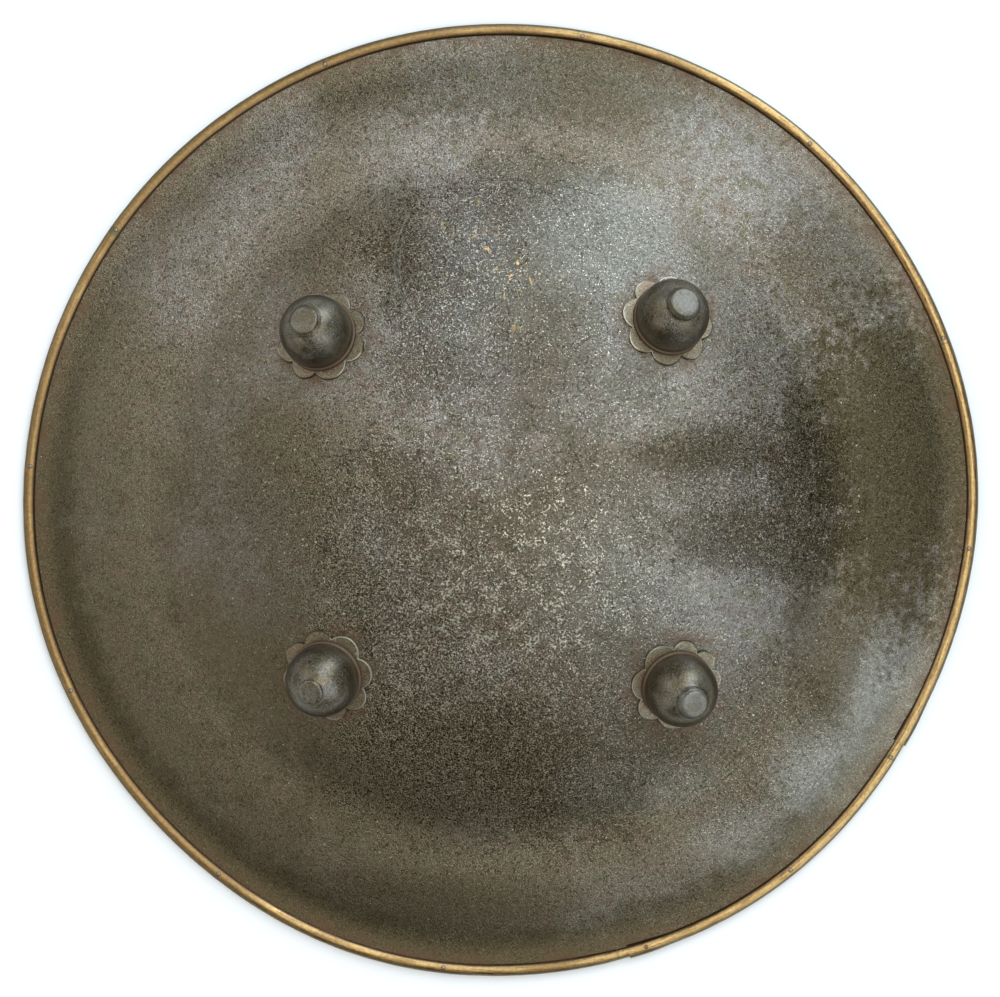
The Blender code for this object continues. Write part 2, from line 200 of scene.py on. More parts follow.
def geometry(tree, kind, inputs=None, **settings):
    """Adds a geometry node and gives its first output."""
    return put(tree, "GeometryNode" + kind, inputs, **settings).outputs[0]


def maths(tree, operation, *values):
    return put(tree, "ShaderNodeMath", dict(enumerate(values)), operation=operation).outputs[0]


def product(tree, *values):
    """All the values multiplied together."""
    result = values[0]
    for value in values[1:]:
        result = maths(tree, "MULTIPLY", result, value)
    return result


def vectors(tree, operation, *values):
    node = put(tree, "ShaderNodeVectorMath", dict(enumerate(values)), operation=operation)
    return node.outputs["Value" if operation in ("LENGTH", "DISTANCE", "DOT_PRODUCT") else "Vector"]


def combined(tree, across=0.0, up=0.0, height=0.0):
    return put(tree, "ShaderNodeCombineXYZ", {0: across, 1: up, 2: height}).outputs[0]


def separated(tree, vector):
    return put(tree, "ShaderNodeSeparateXYZ", {0: vector}).outputs


def stretched(tree, vector, factor):
    inputs = {0: vector, "Scale": factor}
    return put(tree, "ShaderNodeVectorMath", inputs, operation="SCALE").outputs[0]


def ranged(tree, value, low, high, start=0.0, finish=1.0, easing="SMOOTHSTEP"):
    """The value, moved from low..high to start..finish and stopped at both ends."""
    inputs = {0: value, 1: low, 2: high, 3: start, 4: finish}
    return put(tree, "ShaderNodeMapRange", inputs, interpolation_type=easing).outputs[0]


def new_tree(name, inputs, outputs, kind="GeometryNodeTree"):
    """An empty node tree with named sockets, and its input and output nodes."""
    tree = bpy.data.node_groups.new(name, kind)
    for label, socket_kind, value in inputs:
        socket = tree.interface.new_socket(label, in_out="INPUT", socket_type="NodeSocket" + socket_kind)
        if value is not None:
            socket.default_value = value
    for label, socket_kind in outputs:
        tree.interface.new_socket(label, in_out="OUTPUT", socket_type="NodeSocket" + socket_kind)
    return tree, tree.nodes.new("NodeGroupInput").outputs, tree.nodes.new("NodeGroupOutput").inputs


def use_tree(tree, group, inputs=None):
    """Places a finished tree inside another."""
    kind = "ShaderNodeGroup" if tree.bl_idname == "ShaderNodeTree" else "GeometryNodeGroup"
    return put(tree, kind, inputs, node_tree=group).outputs


def grown_mesh(name, tree, values):
    """Runs a geometry tree on an empty mesh and keeps the result as a plain mesh object."""
    seed = bpy.data.objects.new(name + "_seed", bpy.data.meshes.new(name + "_seed"))
    bpy.context.collection.objects.link(seed)
    growth = seed.modifiers.new(name, "NODES")
    growth.node_group = tree
    for item in tree.interface.items_tree:
        if item.in_out == "INPUT" and item.name in values:
            growth[item.identifier] = values[item.name]
    bpy.context.view_layer.update()
    evaluated = seed.evaluated_get(bpy.context.evaluated_depsgraph_get())
    mesh = bpy.data.meshes.new_from_object(evaluated)
    bpy.data.objects.remove(seed)
    return placed_object(name, mesh)


def placed_object(name, mesh):
    mesh.name = name
    made = bpy.data.objects.new(name, mesh)
    bpy.context.collection.objects.link(made)
    return made


def guide_points(name, points):
    """Loose points that a geometry tree reads; the guide is removed once the tree has run."""
    mesh = bpy.data.meshes.new(name)
    mesh.from_pydata([tuple(point) for point in points], [], [])
    return placed_object(name, mesh)


def laid_on_plate_tree():
    """Bends flat geometry, with its height over the face in Z, on to the dished and hammered plate."""
    inputs = [
        ("Geometry", "Geometry", None),
        ("Profile", "Object", None),
        ("Profile Step", "Float", PROFILE_STEP),
        ("Dome End", "Float", DOME_END_RADIUS),
        ("Edge Radius", "Float", PLATE_EDGE_RADIUS),
        ("Hammering Depth", "Float", 0.0004),
        ("Hammering Seed", "Float", 4.0),
        ("Boss Clearing", "Float", 0.030),
        ("Dent Depth", "Float", 0.0006),
        ("Middle", "Vector", (0.0, 0.0, 0.0)),
    ]
    tree, given, result = new_tree("laid_on_plate", inputs, [("Geometry", "Geometry")])
    place = geometry(tree, "InputPosition")
    across, up, offset = separated(tree, place)
    flat = combined(tree, across, up)
    radius = vectors(tree, "LENGTH", flat)
    profile = put(tree, "GeometryNodeObjectInfo", {0: given["Profile"]}).outputs["Geometry"]
    share = maths(tree, "DIVIDE", radius, given["Profile Step"])
    row = maths(tree, "FLOOR", share)
    samples = []
    for shift in (0.0, 1.0):
        index = maths(tree, "ADD", row, shift)
        sample = put(tree, "GeometryNodeSampleIndex", {0: profile}, data_type="FLOAT_VECTOR", clamp=True)
        tree.links.new(place, sample.inputs["Value"])
        tree.links.new(index, sample.inputs["Index"])
        samples.append(sample.outputs[0])
    mixed = put(tree, "ShaderNodeMix", {0: maths(tree, "FRACT", share)}, data_type="VECTOR")
    tree.links.new(samples[0], mixed.inputs[4])
    tree.links.new(samples[1], mixed.inputs[5])
    _, slope, height = separated(tree, mixed.outputs[1])

    angle = maths(tree, "ARCTAN2", up, across)
    wander = 0.0
    for lobes, depth, turn in EDGE_LOBES:
        wave = maths(tree, "COSINE", maths(tree, "MULTIPLY_ADD", angle, lobes, -math.radians(turn)))
        wander = maths(tree, "MULTIPLY_ADD", wave, depth, wander)
    brim = ranged(tree, radius, given["Dome End"], given["Edge Radius"])
    grown = maths(tree, "ADD", 1.0, maths(tree, "DIVIDE", product(tree, wander, brim), radius))
    outward = vectors(tree, "NORMALIZE", flat)
    sideways = stretched(tree, outward, maths(tree, "SINE", slope))
    lifted = combined(tree, height=maths(tree, "COSINE", slope))
    normal = vectors(tree, "ADD", sideways, lifted)

    clearing = 1.0
    for boss_place in boss_frames.values():
        spot = tuple(boss_place.to_translation().xy) + (0.0,)
        distance = vectors(tree, "DISTANCE", flat, spot)
        near = ranged(tree, distance, LOBE_TIP_RADIUS, given["Boss Clearing"])
        clearing = product(tree, clearing, near)
    calm_edge = ranged(tree, radius, *CALM_EDGE)
    blows = {"Vector": flat, "W": given["Hammering Seed"], "Scale": HAMMER_MARKS, "Roughness": 0.55}
    swings = put(tree, "ShaderNodeTexNoise", blows, noise_dimensions="4D").outputs[0]
    hammered = product(tree, maths(tree, "SUBTRACT", swings, 0.5), given["Hammering Depth"])
    dent_place = vectors(tree, "SUBTRACT", flat, DENT_PLACE)
    dent_size = vectors(tree, "DIVIDE", dent_place, DENT_SIZE)
    squared = maths(tree, "POWER", vectors(tree, "LENGTH", dent_size), 2.0)
    dent = maths(tree, "EXPONENT", product(tree, squared, -1.0))
    hammered = maths(tree, "SUBTRACT", hammered, product(tree, dent, given["Dent Depth"]))
    hammered = product(tree, hammered, clearing, calm_edge)

    raised = combined(tree, height=maths(tree, "ADD", height, hammered))
    moved = vectors(tree, "ADD", stretched(tree, flat, grown), raised)
    moved = vectors(tree, "ADD", moved, stretched(tree, normal, offset))
    moved = vectors(tree, "ADD", moved, given["Middle"])
    lay = put(tree, "GeometryNodeSetPosition", {"Geometry": given["Geometry"], "Position": moved})
    tree.links.new(lay.outputs[0], result[0])
    return tree


def etched_lines_tree():
    """Draws the whole ornament flat, as thin raised lines."""
    inputs = [
        ("Medallions", "Object", None),
        ("Borders", "Object", None),
        ("Line Width", "Float", 0.0007),
        ("Line Height", "Float", 0.00004),
        ("Vine Spacing", "Float", 0.0105),
        ("Vine Reach", "Float", 0.142),
        ("Seed", "Int", 7),
    ]
    tree, given, result = new_tree("etched_lines", inputs, [("Geometry", "Geometry")])

    def turned(low, high, seed):
        """A random value for each point."""
        node = put(tree, "FunctionNodeRandomValue", data_type="FLOAT")
        node.inputs[2].default_value = low
        node.inputs[3].default_value = high
        node.inputs["Seed"].default_value = seed
        return node.outputs[1]

    def spots_of(socket):
        return put(tree, "GeometryNodeObjectInfo", {0: socket}).outputs["Geometry"]

    def placed(points, shape, rotation=None, scale=None):
        node = put(tree, "GeometryNodeInstanceOnPoints", {"Points": points, "Instance": shape})
        if rotation is not None:
            tree.links.new(rotation, node.inputs["Rotation"])
        if scale is not None:
            tree.links.new(scale, node.inputs["Scale"])
        return geometry(tree, "RealizeInstances", {0: node.outputs[0]})

    def joined(*shapes):
        node = tree.nodes.new("GeometryNodeJoinGeometry")
        for shape in shapes:
            tree.links.new(shape, node.inputs[0])
        return node.outputs[0]

    # Circles: each guide point holds its radius in Z
    position = geometry(tree, "InputPosition")
    circles = []
    for socket, count in (("Medallions", 84), ("Borders", 200)):
        points = geometry(tree, "MeshToPoints", {0: spots_of(given[socket])})
        stored = put(
            tree,
            "GeometryNodeStoreNamedAttribute",
            {"Geometry": points, "Name": "reach"},
            data_type="FLOAT",
            domain="POINT",
        )
        tree.links.new(separated(tree, position)[2], stored.inputs["Value"])
        grounded = geometry(
            tree,
            "SetPosition",
            {"Geometry": stored.outputs[0], "Position": vectors(tree, "MULTIPLY", position, (1.0, 1.0, 0.0))},
        )
        ring = geometry(tree, "CurvePrimitiveCircle", {"Resolution": count, "Radius": 1.0})
        reach = geometry(tree, "InputNamedAttribute", {"Name": "reach"}, data_type="FLOAT")
        circles.append(placed(grounded, ring, scale=combined(tree, reach, reach, 1.0)))

    # Petals round the top medallion
    top = MEDALLIONS[1]
    ring_inputs = {"Resolution": 64, "Radius": PETAL_RING_RADIUS}
    petal_ring = geometry(tree, "CurvePrimitiveCircle", ring_inputs)
    petal_spots = put(tree, "GeometryNodeCurveToPoints", {"Curve": petal_ring, "Count": PETAL_COUNT})
    spot = geometry(tree, "InputPosition")
    spot_across, spot_up, _ = separated(tree, spot)
    facing = combined(tree, height=maths(tree, "ARCTAN2", spot_up, spot_across))
    petal_width = math.pi * PETAL_RING_RADIUS / PETAL_COUNT
    petal = put(
        tree,
        "GeometryNodeCurveArc",
        {"Resolution": 10, "Radius": petal_width, "Start Angle": -math.pi / 2, "Sweep Angle": math.pi},
    ).outputs["Curve"]
    petals = placed(petal_spots.outputs[0], petal, facing)
    petals = geometry(tree, "Transform", {"Geometry": petals, "Translation": (top[0], top[1], 0.0)})

    # Vines: one spiral with two leaves, scattered over the dome, turned and mirrored
    disc = geometry(tree, "MeshCircle", {"Vertices": 64, "Radius": given["Vine Reach"]}, fill_type="NGON")
    scatter = geometry(
        tree,
        "DistributePointsOnFaces",
        {"Mesh": disc, "Distance Min": given["Vine Spacing"], "Density Max": 30000.0, "Seed": given["Seed"]},
        distribute_method="POISSON",
    )
    covered = 0.0
    for boss_place in boss_frames.values():
        hub = tuple(boss_place.to_translation().xy) + (0.0,)
        near = maths(tree, "LESS_THAN", vectors(tree, "DISTANCE", position, hub), LOBE_TIP_RADIUS + VINE_GAP)
        covered = maths(tree, "MAXIMUM", covered, near)
    scattered = {"Geometry": scatter, "Selection": covered}
    open_spots = geometry(tree, "DeleteGeometry", scattered)
    spiral = geometry(
        tree,
        "CurveSpiral",
        {"Resolution": 11, "Rotations": 1.6, "Start Radius": 0.0007, "End Radius": 0.0054, "Height": 0.0},
    )
    leaves = [spiral]
    for start, middle, end in LEAF_CURVES:
        leaves.append(
            geometry(
                tree,
                "CurveQuadraticBezier",
                {"Resolution": 4, "Start": start, "Middle": middle, "End": end},
            )
        )
    sprig_turn = combined(tree, height=turned(0.0, 2 * math.pi, 3))
    sprig_size = turned(0.75, 1.3, 5)
    side = maths(tree, "SIGN", turned(-1.0, 1.0, 11))
    sprig_scale = combined(tree, sprig_size, product(tree, sprig_size, side), 1.0)
    vines = placed(open_spots, joined(*leaves), sprig_turn, sprig_scale)

    # Cartouches and their rows of strokes, drawn along a straight strip that is then bent round the brim
    strip_length = 2 * math.pi * CARTOUCHE_RADIUS
    pitch = strip_length / CARTOUCHE_COUNT
    row_length = (STROKES_IN_CARTOUCHE - 1) * STROKE_SPACING
    frame_line = geometry(
        tree,
        "CurvePrimitiveQuadrilateral",
        {0: row_length + 4 * STROKE_SPACING, 1: CARTOUCHE_HEIGHT},
    )
    frame_line = geometry(
        tree,
        "FilletCurve",
        {"Curve": frame_line, "Radius": CARTOUCHE_HEIGHT * 0.42, "Count": 6},
        mode="POLY",
    )
    frame_line = geometry(tree, "ResampleCurve", {"Curve": frame_line, "Count": 52})
    strokes = []
    for seed, (low, bend, high) in enumerate(STROKE_CURVES):
        row_start = (-row_length / 2 + seed * STROKE_SPACING / 2, 0.0, 0.0)
        row_step = (STROKE_SPACING, 0.0, 0.0)
        row_inputs = {"Count": STROKES_IN_CARTOUCHE, "Start Location": row_start, "Offset": row_step}
        row = geometry(tree, "MeshLine", row_inputs)
        stroke = geometry(
            tree,
            "CurveQuadraticBezier",
            {"Resolution": 4, "Start": low, "Middle": bend, "End": high},
        )
        lean = combined(tree, height=turned(-0.35, 0.35, 20 + seed))
        length = turned(0.55, 1.1, 30 + seed)
        strokes.append(placed(row, stroke, lean, combined(tree, length, length, 1.0)))
    panel = joined(frame_line, *strokes)
    panel_spots = geometry(tree, "MeshLine", {"Count": CARTOUCHE_COUNT, "Offset": (pitch, 0.0, 0.0)})
    strip = placed(panel_spots, panel)
    along, rise, _ = separated(tree, position)
    heading = maths(tree, "DIVIDE", along, -CARTOUCHE_RADIUS)
    reach = maths(tree, "ADD", rise, CARTOUCHE_RADIUS)
    bent = combined(
        tree,
        product(tree, maths(tree, "COSINE", heading), reach),
        product(tree, maths(tree, "SINE", heading), reach),
    )
    brim_band = geometry(tree, "SetPosition", {"Geometry": strip, "Position": bent})

    # Every line becomes a low ridge, three-sided in section
    lines = joined(*circles, petals, vines, brim_band)
    upright = geometry(tree, "SetCurveNormal", {"Curve": lines}, mode="Z_UP")
    corner_reach = maths(tree, "DIVIDE", given["Line Width"], math.sqrt(3.0))
    section = geometry(tree, "CurvePrimitiveCircle", {"Resolution": 3, "Radius": corner_reach})
    section = geometry(tree, "Transform", {"Geometry": section, "Rotation": (0.0, 0.0, math.pi / 2)})
    ridges = geometry(tree, "CurveToMesh", {"Curve": upright, "Profile Curve": section, "Fill Caps": True})
    lowered = combined(tree, 1.0, 1.0, maths(tree, "DIVIDE", given["Line Height"], corner_reach))
    ridges = geometry(
        tree,
        "SetPosition",
        {"Geometry": ridges, "Position": vectors(tree, "MULTIPLY", position, lowered)},
    )
    raised = put(
        tree,
        "GeometryNodeStoreNamedAttribute",
        {"Geometry": ridges, "Name": "raised"},
        data_type="FLOAT",
        domain="POINT",
    )
    raised.inputs["Value"].default_value = 1.0
    tree.links.new(raised.outputs[0], result[0])
    return tree


def dished_plate_tree(laid_on_plate, etched_lines):
    """The plate: a disc with a front and a back, the ornament on it, bent together to the dished form."""
    inputs = [
        ("Profile", "Object", None),
        ("Medallions", "Object", None),
        ("Borders", "Object", None),
        ("Edge Radius", "Float", PLATE_EDGE_RADIUS),
        ("Plate Thickness", "Float", PLATE_THICKNESS),
        ("Rings", "Int", PLATE_RINGS),
        ("Sides", "Int", PLATE_SIDES),
        ("Middle", "Vector", (0.0, 0.0, 0.0)),
        ("Steel", "Material", None),
    ]
    tree, given, result = new_tree("dished_plate", inputs, [("Geometry", "Geometry")])
    grid = geometry(
        tree,
        "MeshGrid",
        {"Size X": 1.0, "Size Y": 1.0, "Vertices X": given["Rings"], "Vertices Y": given["Sides"]},
    )
    position = geometry(tree, "InputPosition")
    along, round_share, _ = separated(tree, position)
    along = maths(tree, "ADD", along, 0.5)
    angle = product(tree, maths(tree, "ADD", round_share, 0.5), 2 * math.pi)
    front = maths(tree, "DIVIDE", along, FRONT_SHARE)
    back = maths(tree, "DIVIDE", maths(tree, "SUBTRACT", 1.0, along), 1.0 - FRONT_SHARE)
    reach = product(tree, maths(tree, "MINIMUM", front, back), given["Edge Radius"])
    behind = maths(tree, "GREATER_THAN", along, FRONT_SHARE + 1e-5)
    offset = product(tree, behind, given["Plate Thickness"], -1.0)
    ring = combined(
        tree,
        product(tree, maths(tree, "COSINE", angle), reach),
        product(tree, maths(tree, "SINE", angle), reach),
        offset,
    )
    disc = geometry(tree, "SetPosition", {"Geometry": grid, "Position": ring})
    disc = geometry(tree, "MergeByDistance", {"Geometry": disc, "Distance": 1e-6})
    facing = geometry(tree, "FlipFaces", {"Mesh": disc})
    ornament = use_tree(
        tree,
        etched_lines,
        {"Medallions": given["Medallions"], "Borders": given["Borders"]},
    )[0]
    whole = tree.nodes.new("GeometryNodeJoinGeometry")
    tree.links.new(facing, whole.inputs[0])
    tree.links.new(ornament, whole.inputs[0])
    bent = use_tree(
        tree,
        laid_on_plate,
        {"Geometry": whole.outputs[0], "Profile": given["Profile"], "Middle": given["Middle"]},
    )[0]
    realized = geometry(tree, "RealizeInstances", {0: bent})
    finished = put(tree, "GeometryNodeSetMaterial", {"Geometry": realized, "Material": given["Steel"]})
    tree.links.new(finished.outputs[0], result[0])
    return tree


def shader_noise(tree, place, scale, detail=2.0, roughness=0.6, flat=False):
    """Even noise around 0.5, in the plane or in space."""
    inputs = {"Vector": place, "Scale": scale, "Detail": detail, "Roughness": roughness}
    return put(tree, "ShaderNodeTexNoise", inputs, noise_dimensions="2D" if flat else "3D").outputs[0]


def mixed_colour(tree, share, first, second):
    """The first colour where the share is 0 and the second where it is 1."""
    node = put(tree, "ShaderNodeMix", data_type="RGBA")
    for key, value in ((0, share), (6, first), (7, second)):
        if isinstance(value, bpy.types.NodeSocket):
            tree.links.new(value, node.inputs[key])
        else:
            node.inputs[key].default_value = (*value, 1.0) if isinstance(value, tuple) else value
    return node.outputs[2]


def shaded_colour(tree, colour, factor):
    """The colour made lighter or darker by a factor."""
    return stretched(tree, colour, factor)


def worn_flecks_group():
    """Small bare flecks, gathered in loose patches. Share runs from 0, none, to 1, crowded."""
    inputs = [
        ("Place", "Vector", None),
        ("Fleck Size", "Float", 0.0009),
        ("Patch Size", "Float", 0.012),
        ("Share", "Float", 0.4),
    ]
    tree, given, result = new_tree("worn_flecks", inputs, [("Mask", "Float")], "ShaderNodeTree")
    specks = shader_noise(tree, given["Place"], maths(tree, "DIVIDE", 1.0, given["Fleck Size"]), 1.0, 0.5)
    patches = shader_noise(tree, given["Place"], maths(tree, "DIVIDE", 1.0, given["Patch Size"]), 1.0, 0.6)
    crowding = product(tree, ranged(tree, patches, 0.36, 0.66), given["Share"])
    threshold = maths(tree, "MULTIPLY_ADD", crowding, -0.29, 0.75)
    mask = ranged(tree, specks, threshold, maths(tree, "ADD", threshold, 0.06))
    tree.links.new(product(tree, mask, ranged(tree, crowding, 0.0, 0.10)), result[0])
    return tree


def pitted_grain_group():
    """The fine uneven grain that etching and old rust leave in steel: short wriggling ridges, and pits."""
    inputs = [("Place", "Vector", None), ("Grain Size", "Float", 0.0011), ("Pit Size", "Float", 0.0014)]
    outputs = [("Grain", "Float"), ("Pits", "Float")]
    tree, given, result = new_tree("pitted_grain", inputs, outputs, "ShaderNodeTree")
    # Turned a little, because noise shows rows and columns when it is cut along its own grid
    turning = {"Vector": given["Place"], "Rotation": (0.6, 0.5, 0.4)}
    turned = put(tree, "ShaderNodeVectorRotate", turning, rotation_type="EULER_XYZ").outputs[0]
    grain = shader_noise(tree, turned, maths(tree, "DIVIDE", 1.0, given["Grain Size"]), 1.0, 0.7)
    wriggle = maths(tree, "ABSOLUTE", maths(tree, "SUBTRACT", grain, 0.5))
    wriggle = ranged(tree, wriggle, 0.055, 0.0)
    even = ranged(tree, grain, 0.25, 0.75, easing="LINEAR")
    tree.links.new(maths(tree, "MULTIPLY_ADD", wriggle, 0.75, product(tree, even, 0.25)), result[0])
    pits = shader_noise(tree, given["Place"], maths(tree, "DIVIDE", 1.0, given["Pit Size"]), 1.0, 0.4)
    tree.links.new(ranged(tree, pits, 0.36, 0.28), result[1])
    return tree


def carried(tree, name):
    """A value that the mesh carries at each of its points."""
    return put(tree, "ShaderNodeAttribute", attribute_name=name).outputs["Fac"]


def blank_metal(name):
    """A metal with its place, its tree and its shader, ready to be given a surface."""
    material = bpy.data.materials.new(name)
    material.use_nodes = True
    tree = material.node_tree
    shader = tree.nodes["Principled BSDF"]
    shader.inputs["Metallic"].default_value = 1.0
    return material, tree, shader, put(tree, "ShaderNodeTexCoord").outputs["Object"]


def bumped(tree, shader, height, depth, strength=1.0):
    """Lets a height between 0 and 1 stand out of the surface by the depth."""
    node = put(tree, "ShaderNodeBump", {"Strength": strength, "Distance": depth, "Height": height})
    tree.links.new(node.outputs[0], shader.inputs["Normal"])


worn_flecks = worn_flecks_group()
pitted_grain = pitted_grain_group()

DARK_PATINA_AND_SHADE = (0.070, 0.056, 0.028)
BROWN_STEEL = (0.156, 0.128, 0.086)
GREY_STEEL = (0.236, 0.214, 0.180)
BARE_STEEL_AND_SHEEN = (0.325, 0.320, 0.276)
OLIVE_STEEL = (0.158, 0.143, 0.092)
RED_STEEL = (0.172, 0.127, 0.092)
BARE_FLECK = (0.54, 0.52, 0.42)
GOLD_FLECK = (0.78, 0.50, 0.21)
RUST = (0.155, 0.088, 0.050)
CURL_SPACING = 0.0023
CURL_CELLS = 80.0
GRAIN_SIZE = 0.0012
PIT_SIZE = 0.0011
GRAIN_DEPTH = 0.00030
GRAIN_MEAN = 0.28
FLECK_SIZE = 0.00125
FLECK_PATCH = 0.0075
WORKED_EDGE = (0.204, 0.199)
FOOTWARD = (-0.42, -0.91, 0.0)
LEFTWARD = (-0.97, -0.24, 0.0)
ROSETTE_RUST = (0.030, 0.019)
RIM_RUST = (0.2120, 0.2205)
PALE_RING_RADII = (0.0416, 0.0440)
GOLD_PLACE = (-0.004, 0.110, 0.0)
GOLD_SPREAD = (24.0, 22.0, 1.0)
GOLD_STRETCH = (1.0, 0.40, 1.0)
# Dark places, partly patina that has stayed dark and partly painted shade where the face turns away from the
# light: across, up, half width, half height, how strongly
DARK_PATCHES = (
    (-0.006, -0.128, 0.078, 0.034, 0.56),
    (0.014, -0.146, 0.040, 0.008, 0.50),
    (0.100, 0.022, 0.034, 0.010, 0.60),
    (0.108, -0.018, 0.034, 0.014, 0.62),
    (0.142, 0.015, 0.015, 0.064, 0.75),
    (0.120, 0.064, 0.030, 0.026, 0.35),
    (0.152, -0.070, 0.020, 0.036, 0.66),
    (0.164, 0.112, 0.036, 0.042, 0.56),
    (-0.060, 0.194, 0.036, 0.013, 0.50),
    (0.184, 0.020, 0.050, 0.085, 0.95),
    (0.210, 0.034, 0.022, 0.080, 0.90),
    (0.026, 0.198, 0.096, 0.022, 0.62),
    (-0.028, -0.190, 0.060, 0.016, 0.42),
    (-0.046, 0.118, 0.010, 0.030, 0.45),
    (-0.100, -0.030, 0.040, 0.070, 0.38),
)
# Pale places, partly where hands and cloths have rubbed the face and partly painted sheen of the cool light
# it reflects
SHEEN_AND_RUBBED_PLACES = (
    (0.044, 0.120, 0.032, 0.030, 0.50),
    (0.062, 0.070, 0.026, 0.040, 0.34),
    (0.000, 0.096, 0.040, 0.030, 0.16),
    (0.118, 0.006, 0.030, 0.004, 0.12),
    (0.060, -0.026, 0.044, 0.040, 0.26),
    (0.066, -0.133, 0.032, 0.012, 0.30),
    (0.182, -0.098, 0.020, 0.036, 0.62),
    (0.160, -0.132, 0.028, 0.026, 0.62),
    (0.126, -0.162, 0.036, 0.018, 0.35),
)
# Where small bare flecks crowd
FLECKED_PLACES = (
    (0.004, -0.036, 0.064, 0.050, 0.80),
    (0.120, -0.002, 0.040, 0.034, 0.55),
    (-0.128, 0.094, 0.022, 0.040, 0.45),
    (0.100, -0.080, 0.050, 0.030, 0.40),
    (-0.075, -0.020, 0.050, 0.050, 0.34),
)
# Where the etched ground is still rough; elsewhere it has been rubbed almost smooth
ROUGH_PLACES = (
    (0.000, -0.058, 0.090, 0.110, 1.0),
    (0.010, 0.080, 0.070, 0.070, 0.95),
    (0.120, -0.002, 0.050, 0.045, 0.80),
    (0.110, -0.110, 0.050, 0.050, 0.60),
    (0.120, 0.090, 0.060, 0.060, 0.45),
)


def places_mask(tree, flat, ragged, places):
    """Oval places on the face, with ragged edges, as one mask: the strongest where they meet."""
    mask = 0.0
    for across, up, half_width, half_height, strength in places:
        away = vectors(tree, "SUBTRACT", flat, (across, up, 0.0))
        away = vectors(tree, "MULTIPLY", away, (1.0 / half_width, 1.0 / half_height, 1.0))
        near = ranged(tree, maths(tree, "ADD", vectors(tree, "LENGTH", away), ragged), 1.6, 0.5)
        mask = maths(tree, "MAXIMUM", mask, product(tree, near, strength))
    return mask


